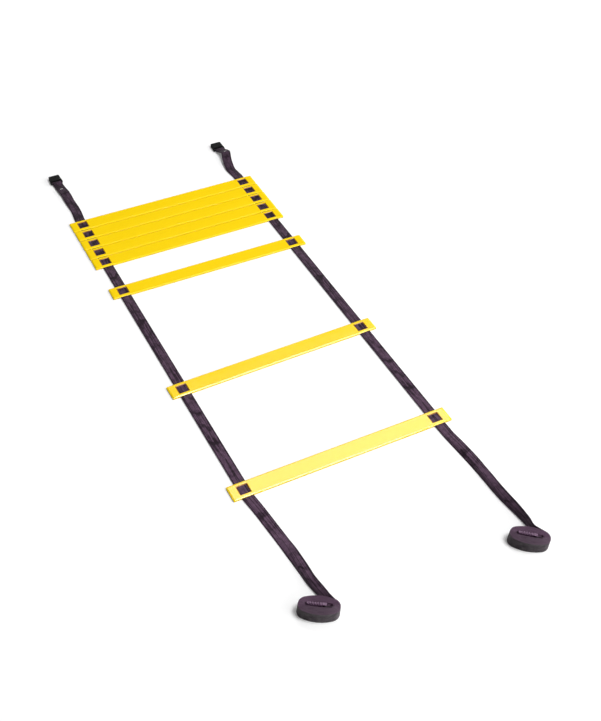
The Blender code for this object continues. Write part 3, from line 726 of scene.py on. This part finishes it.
# %% Give the straps' sizes
WEBBING_THICKNESS = 1.1 * MM
FACE_CLEARANCE = 0.35 * MM
TOUCH_GAP = 0.3 * MM
BAR_RADIUS = 1.6 * MM
BAR_HEIGHT = 3.9 * MM
CHEEK_RADIUS = 3.3 * MM
LOOP_RADIUS = BAR_RADIUS + FACE_CLEARANCE + WEBBING_THICKNESS / 2
LAYER_STEP = WEBBING_THICKNESS + FACE_CLEARANCE
FOLD_LENGTH = 60.0 * MM
FOLD_BLEND = 16.0 * MM
COLUMNS = 15
CELL = WEBBING_WIDTH / (COLUMNS - 1)
BEND_FROM, BEND_TO = 0.15, 0.60
print("the webbing turns round a bar at", round(LOOP_RADIUS / MM, 2), "mm")

# %% [markdown]
# The far end of each strap wanders and rises on its way to the buckle, and the near end turns on edge on
# its way to the roll. Both routes are shares: of the reach, of the sideways drift, of the rise. The slopes
# of the two selvedges are shares of upright.

# %% Give the routes
STRAPS = {
    "left": {
        "far_drift": -1.6 * MM,
        "far_rise": 3.0 * MM,
        "roll_aside": 0.6 * MM,
        "roll_reach": 298.8 * MM,
        "roll_turn": -33.0,
        "far": (
            (0, 0, 0), (0.231, -2.2, 0.1), (0.458, -1.3, 0.5), (0.646, -1.5, 1), (0.84, 0.3, 0.35),
            (1, 1, 0),
        ),
        "near": (
            (0, 0), (0.131, 0.119), (0.282, 0.218), (0.426, 0.310), (0.568, 0.387), (0.709, 0.462),
            (0.787, 0.510), (0.863, 0.607), (0.935, 0.739), (0.971, 0.867), (1, 1),
        ),
        "curl": (
            (0, 0, 0), (0.44, 0, 0), (0.60, 0.52, 0.02), (0.76, 0.86, 0.17), (0.85, 0.95, 0.30),
            (0.94, 1, 0.60), (1, 1, 1),
        ),
    },
    "right": {
        "far_drift": 7.0 * MM,
        "far_rise": 12.5 * MM,
        "roll_aside": -14.1 * MM,
        "roll_reach": 338.4 * MM,
        "roll_turn": -40.0,
        "far": (
            (0, 0, 0), (0.123, -0.3, 0.01), (0.269, -0.5, 0.10), (0.474, 0.12, 0.53), (0.598, 0.75, 0.84),
            (0.693, 1.35, 1), (0.751, 1.55, 1), (0.876, 1.3, 0.48), (1, 1, 0),
        ),
        "near": (
            (0, 0), (0.115, 0.042), (0.247, 0.147), (0.373, 0.245), (0.496, 0.300), (0.619, 0.346),
            (0.708, 0.444), (0.803, 0.583), (0.875, 0.654), (0.909, 0.625), (0.937, 0.636), (0.965, 0.783),
            (1, 1),
        ),
        "curl": (
            (0, 0, 0), (0.10, 0, 0), (0.26, 0.46, 0.02), (0.44, 0.82, 0.10), (0.58, 0.94, 0.24),
            (0.72, 1, 0.50), (0.84, 1, 0.80), (1, 1, 1),
        ),
    },
}
FAR_STATIONS = 66
NEAR_STATIONS = 110
BAR_STEPS = 12
RUN_STEP = 4.0 * MM

# %% Write the route helpers


def eased(share):
    """A share that starts and ends gently."""
    return share**2 * (3 - 2 * share)


def through(points, count):
    """Points at even shares of a smooth curve through the given ones."""
    points = np.array(points, float)
    padded = np.vstack([2 * points[0] - points[1], points, 2 * points[-1] - points[-2]])
    knots = np.linspace(0, len(points) - 1, count)
    first = np.minimum(knots.astype(int), len(points) - 2)
    t = (knots - first)[:, None]
    a, b, c, d = [padded[first + k] for k in range(4)]
    leaving, arriving = (c - a) / 2, (d - b) / 2
    return b + (c - b) * eased(t) + t * (1 - t) ** 2 * leaving + (t - 1) * t**2 * arriving


def unit(vectors):
    return vectors / np.linalg.norm(vectors, axis=-1, keepdims=True)


def headings(points):
    """The unit direction of travel over the ground at each point."""
    return unit(np.gradient(points[:, :2], axis=0))


def running(steps):
    """The running total of some steps, from nought."""
    return np.concatenate([[0], np.cumsum(steps)])


def lengths_along(points):
    return running(np.linalg.norm(np.diff(points, axis=0), axis=1))


def half_turn(centre, radius, start, steps):
    """Points of a clockwise half turn from a start angle."""
    angles = start - np.linspace(0, math.pi, steps + 1)
    return [(centre[0] + radius * math.cos(a), centre[1] + radius * math.sin(a)) for a in angles]


def across(edge, side, low_slope=0.0, high_slope=0.0):
    """A line over the webbing's width. It starts at edge and leans from one slope to the other."""
    shares = np.linspace(0, 1, COLUMNS)
    bend = np.clip(((shares[:-1] + shares[1:]) / 2 - BEND_FROM) / (BEND_TO - BEND_FROM), 0, 1)
    slopes = np.radians(low_slope + (high_slope - low_slope) * eased(bend))
    run, rise = running(np.cos(slopes)) * CELL, running(np.sin(slopes)) * CELL
    return np.array(edge) + np.stack([run * side[0], run * side[1], rise], axis=1)


def flat_lines(points, sides):
    half = WEBBING_WIDTH / 2
    return [across((p[0] - half * s[0], p[1] - half * s[1], p[2]), s) for p, s in zip(points, sides)]


def measure_straps():
    """Write down what the frame says of each strap: its middle line, its straight run and its bar."""
    for which, strap in STRAPS.items():
        low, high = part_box(f"strap_run_{which}")
        socket_low, socket_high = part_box(f"socket_{which}")
        bar_x = (socket_low.x + socket_high.x) / 2
        strap["x"], strap["height"] = (low.x + high.x) / 2, (low.z + high.z) / 2
        strap["near_y"], strap["far_y"] = low.y, high.y
        strap["bar"] = Vector((bar_x, socket_low.y + CHEEK_RADIUS, BAR_HEIGHT))
        print(which, "bar at", strap["bar"])


measure_straps()

# %% [markdown]
# ## The far end, round the buckle's bar
#
# The end of the webbing is folded back over itself and sewn down. Near the bar the two layers part to pass
# over and under it. The upper layer is made from the lower one, so they can't run into each other.

# %% Run the far end


def lower_layer(which):
    strap = STRAPS[which]
    along, drift, rise = through(strap["far"], FAR_STATIONS).T
    x = strap["x"] + drift * strap["far_drift"]
    y = strap["far_y"] + TOUCH_GAP + along * (strap["bar"].y - strap["far_y"] - TOUCH_GAP)
    level = strap["height"] + (BAR_HEIGHT - LOOP_RADIUS - strap["height"]) * along
    return np.stack([x, y, level + rise * strap["far_rise"]], axis=1)


def upper_layer(lower):
    """The layer that is folded back over the lower one. Near the bar it rises further from it."""
    length = lengths_along(lower)
    folded = length[-1] - length <= FOLD_LENGTH
    near_bar = np.maximum(0, 1 - (length[-1] - length[folded]) / FOLD_BLEND)
    lift = LAYER_STEP + (2 * LOOP_RADIUS - LAYER_STEP) * eased(near_bar)
    return lower[folded] + lift[:, None] * (0, 0, 1)


def far_lines(which):
    lower = lower_layer(which)
    turned = headings(lower)
    turned[0] = turned[-1] = (0, 1)
    sides = np.stack([turned[:, 1], -turned[:, 0]], axis=1)
    upper = upper_layer(lower)
    bar = STRAPS[which]["bar"]
    round_bar = half_turn((bar.y, bar.z), LOOP_RADIUS, math.pi / 2, BAR_STEPS)[1:-1]
    lines = flat_lines(upper, sides[-len(upper) :])
    lines += flat_lines([(bar.x, y, z) for y, z in round_bar], [(1.0, 0.0)] * len(round_bar))
    return lines + flat_lines(lower[::-1], sides[::-1])


print("left far end:", len(far_lines("left")), "lines")

# %% [markdown]
# ## The roll
#
# The rest of the strap is wound on edge, as it is when a ladder has been packed once and half unpacked.
# The winding is an oval spiral. Each turn has four arcs that meet smoothly, a tight one at each end and a
# wide one along each side. Their radius shrinks by one layer for each turn, so the turns lie side by side
# as real ones do. Inside them the webbing goes round the bar of the buckle's plug.

# %% Wind the roll
ROLL_STRAIGHT = 44.0 * MM
ROLL_BULGE = 4.2 * MM
OUTER_TURN = 16.95 * MM
INNER_TURN = 4.15 * MM
WIND_TURNS = 10
LOOP_POINTS = 40
ARC_POINTS = 15
CORE_LIFT = 2.3 * MM
PLUG_BAR_OFFSET = 12.0 * MM
PLUG_BAR_STEPS = 10
WAIST_SHARE = 0.9
WAY_TO_BAR, WAY_BACK = (0.8, 0.6, 0.45), (0.45, 0.65, 0.85)
ROLL_LEAN = 0.10
LEAN_STEPS = 14


def roll_point(step):
    """Where a step of the winding lies in the roll's own plane: along its length, then across it."""
    half = ROLL_STRAIGHT / 2
    turns = step / LOOP_POINTS
    radius = OUTER_TURN - (OUTER_TURN - INNER_TURN) * turns / WIND_TURNS
    bulge = ROLL_BULGE * radius / OUTER_TURN
    far_centre = (half**2 - bulge**2) / (2 * bulge)
    spread = math.atan2(half, far_centre)
    place, loop_half = step % LOOP_POINTS, LOOP_POINTS // 2
    end, sign = (place, 1) if place < loop_half else (place - loop_half, -1)
    if end < ARC_POINTS:
        angle = (math.pi / 2 - spread) * (1 - 2 * end / (ARC_POINTS - 1))
        return sign * (half + radius * math.cos(angle)), sign * radius * math.sin(angle)
    turn = spread * (1 - 2 * (end - ARC_POINTS + 1) / (loop_half - ARC_POINTS + 1))
    wide = radius + bulge + far_centre
    return sign * wide * math.sin(turn), sign * (far_centre - wide * math.cos(turn))


def core_points():
    """The inner end: round the end of the core to the plug's bar, round it and part of the way back."""
    half, top, bottom = ROLL_STRAIGHT / 2, roll_point(WIND_TURNS * LOOP_POINTS)[1], -LOOP_RADIUS
    free, waist = half - PLUG_BAR_OFFSET, LAYER_STEP * WAIST_SHARE
    return [
        *half_turn((half, (top + bottom) / 2), (top - bottom) / 2, math.pi / 2, ARC_POINTS - 1)[1:],
        *((PLUG_BAR_OFFSET + share * free, -waist) for share in WAY_TO_BAR),
        *half_turn((PLUG_BAR_OFFSET, 0), LOOP_RADIUS, -math.pi / 2, PLUG_BAR_STEPS),
        *((PLUG_BAR_OFFSET + share * free, waist) for share in WAY_BACK),
    ]


def roll_frame(which):
    strap = STRAPS[which]
    place = (strap["x"] + strap["roll_aside"], strap["near_y"] - strap["roll_reach"], 0)
    return Matrix.Translation(place) @ Matrix.Rotation(math.radians(strap["roll_turn"]), 4, "Z")


def winding(which):
    """The winding's lower edge from its outer end inward."""
    flat = [roll_point(step) for step in range(WIND_TURNS * LOOP_POINTS + 1)] + core_points()
    lifts = np.linspace(0, 1, len(flat)) * CORE_LIFT
    turned = roll_frame(which)
    return [turned @ Vector((u, v, lift)) for (u, v), lift in zip(flat, lifts)]


def roll_lines(which):
    """The winding's upright lines. They lean a little along the roll, as its top has slid to one side."""
    heights = np.linspace(0, WEBBING_WIDTH, COLUMNS)
    x, y, *_ = roll_frame(which).col[0]
    lines = []
    for number, point in enumerate(winding(which)):
        slid = ROLL_LEAN * min(1.0, number / LEAN_STEPS) * (heights - WEBBING_WIDTH / 2)
        lines.append(np.array(point) + np.stack([slid * x, slid * y, heights], axis=1))
    return lines


print("left roll:", len(roll_lines("left")), "lines in", WIND_TURNS, "turns")

# %% [markdown]
# ## The lead between rung and roll
#
# The lead leaves the last rung flat and ends standing on edge at the roll. Its lower selvedge keeps to
# the ground while the upper one rises, so the webbing turns through a quarter with a slight hollow in it.

# %% Lift the lead on edge
UPRIGHT = 90.0
SETTLE_SHARE = 0.2


def near_lines(which):
    strap = STRAPS[which]
    x0, y0 = strap["x"] - WEBBING_WIDTH / 2, strap["near_y"] - TOUCH_GAP
    start = winding(which)[0]
    drift, reach = start.x - x0, start.y - y0
    route = through(strap["near"], NEAR_STATIONS)
    curl = np.array(strap["curl"], float)
    edge = np.array([(x0 + d * drift, y0 + a * reach, 0) for a, d in route])
    turned = headings(edge)
    turned[0] = (0, -1)
    lines = []
    for (along, _), point, way in zip(route, edge, turned):
        low, high = [UPRIGHT * np.interp(along, curl[:, 0], curl[:, k]) for k in (1, 2)]
        landed = eased(min(1.0, along / SETTLE_SHARE))
        height = strap["height"] + (WEBBING_THICKNESS / 2 + TOUCH_GAP - strap["height"]) * landed
        lift = np.array([0, 0, height * math.cos(math.radians(low))])
        lines.append(across(point + lift, (-way[1], way[0]), low, high))
    return lines[:-1]


def run_lines(which):
    strap = STRAPS[which]
    count = math.ceil((strap["far_y"] - strap["near_y"]) / RUN_STEP)
    ys = np.linspace(strap["far_y"], strap["near_y"], count)
    return flat_lines([(strap["x"], y, strap["height"]) for y in ys], [(1.0, 0.0)] * count)


print("left lead:", len(near_lines("left")), "lines, left run:", len(run_lines("left")), "lines")

# %% [markdown]
# ## From lines to webbing
#
# A curve with a flat profile could sweep the webbing, but it would choose for itself how to lean where the
# strap turns on edge. So the lines say it: each is thickened to a flat ring with round selvedges, and
# neighbouring rings are joined. The UV map holds metres along the strap and metres round it, so the weave
# has the same scale everywhere.

# %% Build the webbing's mesh
SELVEDGE_STEPS = 2
WEBBING_SMOOTH = 50.0


def ring_profile():
    """The webbing's outline: each point's column, side of the middle, reach past the column, and V."""
    half, last = WEBBING_THICKNESS / 2, COLUMNS - 1
    turns = [math.pi * s / (SELVEDGE_STEPS + 1) for s in range(1, SELVEDGE_STEPS + 1)]
    inset = {0: half, last: -half}
    top = [(k, half, inset.get(k, 0.0)) for k in range(COLUMNS)]
    right = [(last, half * math.cos(t), half * math.sin(t) - half) for t in turns]
    left = [(0, -half * math.cos(t), half - half * math.sin(t)) for t in turns]
    bottom = [(k, -side, reach) for k, side, reach in reversed(top)]
    over = [(k, side, reach, k * CELL + reach) for k, side, reach in top + right]
    under = [(k, side, reach, 2 * WEBBING_WIDTH - k * CELL - reach) for k, side, reach in bottom + left]
    return over + under


def webbing_mesh(lines):
    """A closed band through the lines, with its UV map. Returns it and the band's length."""
    grid = np.array(lines, float)
    along = lengths_along(grid[:, COLUMNS // 2])
    over = unit(np.gradient(grid, axis=1))
    up = unit(np.cross(np.gradient(grid, axis=0), over))
    profile = ring_profile()
    rings = [grid[:, k] + side * up[:, k] + reach * over[:, k] for k, side, reach, _ in profile]
    points = np.stack(rings, axis=1).reshape(-1, 3)
    count, rows = len(profile), len(grid)
    k = np.arange(count)
    ring = np.stack([k, (k + 1) % count, (k + 1) % count + count, k + count], axis=1)
    quads = (ring[None] + count * np.arange(rows - 1)[:, None, None]).reshape(-1, 4)
    ends = [tuple(range(count))[::-1], tuple(range(count * (rows - 1), count * rows))]
    mesh = bpy.data.meshes.new("webbing")
    mesh.from_pydata(points.tolist(), [], quads.tolist() + ends)
    round_ = np.array([v for *_, v in profile] + [2 * WEBBING_WIDTH])
    u = along[np.array([0, 0, 1, 1]) + np.arange(rows - 1)[:, None, None]]
    v = round_[np.array([0, 1, 1, 0]) + k[:, None]]
    places = np.stack(np.broadcast_arrays(u, v), axis=-1).reshape(-1, 2)
    first = np.stack([np.full(count, along[0]), round_[:-1][::-1]], axis=1)
    last = np.stack([np.full(count, along[-1]), round_[:-1]], axis=1)
    mesh.uv_layers.new(name="strap").data.foreach_set("uv", np.vstack([places, first, last]).ravel())
    edited(mesh, lambda bm: bmesh.ops.recalc_face_normals(bm, faces=bm.faces))
    return smooth(mesh, WEBBING_SMOOTH), along[-1]


def lay_straps():
    for which in STRAPS:
        lines = far_lines(which) + run_lines(which) + near_lines(which) + roll_lines(which)
        mesh, length = webbing_mesh(lines)
        nodes = [f"strap_{part}_{which}" for part in ("end", "run", "lead", "roll")]
        add_piece(f"strap_{which}_woven", mesh, webbing, "webbing", *nodes)
        print(which, "strap:", round(length, 3), "m of webbing,", len(mesh.polygons), "faces")


lay_straps()

# %% [markdown]
# ## The buckles
#
# Both halves of a side-release buckle are moulded, so every edge is softly round and the finger grips are
# ribbed. The CAD halves are exact but sharp, and a Bevel wouldn't round the corners where ribs meet a body.
# So one of each is copied, Geometry Nodes add its rows of ribs, a voxel remesh draws one skin over
# everything, and a few rounds of smoothing soften it as a mould would.

# %% Give the ribs their sizes
SKIN_VOXEL = 0.4 * MM
SOFTEN_BY, SOFTEN_ROUNDS = 0.5, 6
SOCKET_RIBS = {
    "Count": 5,
    "Pitch": 1.7 * MM,
    "Start": (0.0, 13.1 * MM, 5.4 * MM),
    "Size": (11.0 * MM, 0.8 * MM, 1.0 * MM),
}
PLUG_RIBS = {
    "Count": 7,
    "Pitch": 4.7 * MM,
    "Start": (13.4 * MM, -32.0 * MM, 0.0),
    "Size": (3.6 * MM, 2.9 * MM, 5.2 * MM),
}

# %% Mould the buckles


def ribs_tree():
    """A row of ribs along Y, added to the geometry that comes in."""
    bench, size = new_tree("ribs", SOCKET_RIBS)
    row = row_of_points(bench, size["Count"], size["Start"], bench.vector(0.0, size["Pitch"]))
    rib = bench.node("GeometryNodeMeshCube", {"Size": size["Size"]})
    ribs = bench.node("GeometryNodeInstanceOnPoints", {"Points": row, "Instance": rib})
    both = bench.gather("GeometryNodeJoinGeometry", 0, (size["Geometry"], ribs))
    return closed_tree(bench, both, size["Material"])


RIBS_TREE = ribs_tree()


def moulded(node, place, rows, plastic):
    """A softened copy of a CAD node with its ribs, in the node's own frame."""
    mesh = frame["nodes"][node].data.copy()
    mesh.transform(place.inverted())
    edited(mesh, lambda bm: bmesh.ops.remove_doubles(bm, verts=bm.verts, dist=MERGE_DISTANCE))
    blank = put_in_scene("moulded_blank", mesh)
    for row in rows:
        grow(blank, RIBS_TREE, row, plastic)
    skin = blank.modifiers.new("skin", "REMESH")
    skin.mode = "VOXEL"
    skin.voxel_size = SKIN_VOXEL
    skin.use_smooth_shade = True
    soft = blank.modifiers.new("soft", "SMOOTH")
    soft.factor = SOFTEN_BY
    soft.iterations = SOFTEN_ROUNDS
    return settled(blank)


def socket_place(which):
    return Matrix.Translation(STRAPS[which]["bar"])


def plug_place(which):
    """The plug stands on its side in the core, with its bar upright and its arms along the roll."""
    upright = Matrix.Rotation(-math.pi / 2, 4, "Z") @ Matrix.Rotation(math.pi / 2, 4, "Y")
    middle = Vector((PLUG_BAR_OFFSET, 0, CORE_LIFT + WEBBING_WIDTH / 2))
    return roll_frame(which) @ Matrix.Translation(middle) @ upright


def lay_buckles():
    x, y, z = PLUG_RIBS["Start"]
    both_sides = [{**PLUG_RIBS, "Start": (side * x, y, z)} for side in (-1, 1)]
    for kind, place_of, rows in (("socket", socket_place, [SOCKET_RIBS]), ("plug", plug_place, both_sides)):
        plastic = buckle_plastics[kind]
        shape = moulded(f"{kind}_left", place_of("left"), rows, plastic)
        for which in STRAPS:
            node = f"{kind}_{which}"
            mesh = shape.copy()
            mesh.transform(place_of(which))
            add_piece(f"{node}_moulded", mesh, plastic, "buckle_plastic", node)
        print(kind, len(shape.polygons), "faces")


lay_buckles()

# %% [markdown]
# ## The sewn bars
#
# A bartack is a dense zigzag of thread that holds the folded webbing. It repeats, so Geometry Nodes sew it:
# a row of points, every second one moved across, joined by a curve with the thread's thickness. Between its
# ends each stitch rises a little out of the webbing.

# %% Sew the bartacks
STITCH_SIZES = {
    "Stitches": 19,
    "Across": 7.0 * MM,
    "Along": 3.4 * MM,
    "Thread Radius": 0.24 * MM,
    "Dip": 0.3 * MM,
}
STITCH_LOW = 0.33 * MM
STITCH_POINTS = 5
THREAD_SIDES, THREAD_SMOOTH = 6, 60.0


def stitch_tree():
    bench, size = new_tree("zigzag", STITCH_SIZES)
    start = size["Across"] * -0.5
    step = size["Across"] / (size["Stitches"] - 1.0)
    row = row_of_points(bench, size["Stitches"], bench.vector(start), bench.vector(step))
    swing = (bench.node("GeometryNodeInputIndex") % 2.0 - 0.5) * size["Along"]
    zigzag = bench.node("GeometryNodeSetPosition", {"Geometry": row, "Offset": bench.vector(0.0, swing)})
    line = bench.node("GeometryNodeMeshToCurve", {"Mesh": zigzag})
    count = (size["Stitches"] - 1.0) * STITCH_POINTS + 1.0
    line = bench.node("GeometryNodeResampleCurve", {"Curve": line, "Count": count})
    _, y, _ = bench.split(bench.node("GeometryNodeInputPosition"))
    share = y * 2.0 / size["Along"]
    dip = bench.vector(0.0, 0.0, share * share * size["Dip"] * -1.0)
    line = bench.node("GeometryNodeSetPosition", {"Geometry": line, "Offset": dip})
    round_thread = {"Resolution": THREAD_SIDES, "Radius": size["Thread Radius"]}
    profile = bench.node("GeometryNodeCurvePrimitiveCircle", round_thread, mode="RADIUS")
    values = {"Curve": line, "Profile Curve": profile, "Fill Caps": True}
    return closed_tree(bench, bench.node("GeometryNodeCurveToMesh", values), size["Material"])


def lie_in_space(node):
    """The middle of a flat node that may be tilted, with its long side along X and its face up."""
    low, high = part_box(node)
    axes = main_directions(node, 3)[:, ::-1]
    long_way = Vector(axes[:, 0]) * math.copysign(1, axes[0, 0])
    up = Vector(axes[:, 2]) * math.copysign(1, axes[2, 2])
    turn = Matrix((long_way, up.cross(long_way), up)).transposed().to_4x4()
    return Matrix.Translation((low + high) / 2) @ turn


def sew_bartacks():
    tree = stitch_tree()
    for which in STRAPS:
        node = f"bartack_{which}"
        blank = put_in_scene("stitches", bpy.data.meshes.new("stitches"))
        grow(blank, tree, STITCH_SIZES, thread)
        mesh = smooth(settled(blank), THREAD_SMOOTH)
        mesh.transform(lie_in_space(node) @ Matrix.Translation((0, 0, -STITCH_LOW)))
        add_piece(f"{node}_sewn", mesh, thread, "thread", node)
        print(node, len(mesh.polygons), "faces")


sew_bartacks()

# %% [markdown]
# ## Floor and light
#
# The ladder lies on a white studio floor that takes its soft shadows. The floor throws back less light than
# it shows, as in a large dark studio, so faces that look to the left stay dark. Its own faint glow grows
# with the distance, which keeps it white in low side views. Two softboxes hang level. The stronger one, at
# the right front, throws short shadows to the left and draws a bright line along each near chamfer. The
# other is far behind, where only the near rungs mirror it. The sky is dim and a little brighter overhead,
# with a strong low glow at the right front that fills the near faces.

# %% Lay the floor
FLOOR_SIZE = 40.0
FLOOR_WHITE = (0.96, 0.96, 0.96, 1.0)
FLOOR_BOUNCE = (0.22, 0.22, 0.22, 1.0)
FLOOR_GLOW = 0.06
FAR_GLOW = 1.0
FAR_FROM, FAR_OVER = 1.5, 4.5


def seen_rays(bench):
    """Two switches: one for what the camera sees straight, one for what it sees in gloss or glass."""
    path = bench.node("ShaderNodeLightPath")
    gloss, glass = path.sibling("Is Glossy Ray"), path.sibling("Is Transmission Ray")
    return path.sibling("Is Camera Ray"), gloss.most(glass)


def floor_pattern(bench):
    """White where it is seen, with a faint glow there that grows with the distance."""
    straight, mirrored = seen_rays(bench)
    seen = straight.most(mirrored)
    x, y, _ = bench.split(bench.object_place())
    far = (((x * x + y * y) ** 0.5 - FAR_FROM) / FAR_OVER).most(0.0).least(1.0)
    glow = bench.node("ShaderNodeEmission", {"Strength": seen * (FLOOR_GLOW + FAR_GLOW * far)})
    shader = Wire(bench, bench.tree.nodes["Principled BSDF"].outputs[0])
    both = bench.node("ShaderNodeAddShader", {0: shader, 1: glow})
    bench.tree.links.new(both.socket, bench.tree.nodes["Material Output"].inputs["Surface"])
    return {"Base Color": bench.mixed(seen, FLOOR_BOUNCE, FLOOR_WHITE)}


def lay_floor():
    mesh, half = bpy.data.meshes.new("floor"), FLOOR_SIZE / 2
    edited(mesh, lambda bm: bmesh.ops.create_grid(bm, x_segments=2, y_segments=2, size=half))
    constants = {"Roughness": 1.0, "Specular IOR Level": 0.0}
    mesh.materials.append(finish("floor_white", constants, floor_pattern))
    put_in_scene("floor", mesh)


lay_floor()

# %% Light the sky
SKY_LOW = 0.05
SKY_HIGH = 0.28
FRONT_GLOW = 7.6
FRONT_WAY = (0.78, -0.626)
FRONT_FALLOFF, HIGH_FALLOFF = 4.0, 4.0
BACKDROP_TOP = 0.34


def light_sky():
    """A sky that brightens upward. The camera sees white, and gloss mirrors a white backdrop low down."""
    world = bpy.data.worlds.new("sky")
    bpy.context.scene.world = world
    world.use_nodes = True
    bench = Bench(world.node_tree)
    straight, mirrored = seen_rays(bench)
    x, y, height = bench.split(bench.node("ShaderNodeTexCoord", output=0))
    height = height.most(0.0)
    front = (x * FRONT_WAY[0] + y * FRONT_WAY[1]).most(0.0) ** FRONT_FALLOFF * (1.0 - height)
    glow = SKY_LOW + (SKY_HIGH - SKY_LOW) * height**HIGH_FALLOFF + FRONT_GLOW * front
    strength = glow.most(straight).most(mirrored * (1.0 - height.above(BACKDROP_TOP)))
    back = bench.tree.nodes["Background"]
    back.inputs["Color"].default_value = (1.0, 1.0, 1.0, 1.0)
    bench.tree.links.new(strength.socket, back.inputs["Strength"])


light_sky()
print("sky from", SKY_LOW, "to", SKY_HIGH)

# %% Hang the softboxes
SOFTBOXES = {
    "right_front": {"place": (1.7, -1.95, 5.2), "size": (1.9, 2.2), "radiance": 17.5},
    "far_behind": {"place": (2.25, 3.25, 5.0), "size": (3.6, 2.3), "radiance": 4.8},
}


def hang_softbox(name, place, size, radiance):
    lamp = bpy.data.lights.new(name, "AREA")
    lamp.shape = "RECTANGLE"
    lamp.size, lamp.size_y = size
    lamp.energy = radiance * math.pi * size[0] * size[1]
    put_in_scene(name, lamp).location = place
    print(name, "softbox:", round(lamp.energy, 1), "W")


for box_name, facts in SOFTBOXES.items():
    hang_softbox(box_name, **facts)
bpy.context.scene.view_settings.view_transform = "Standard"
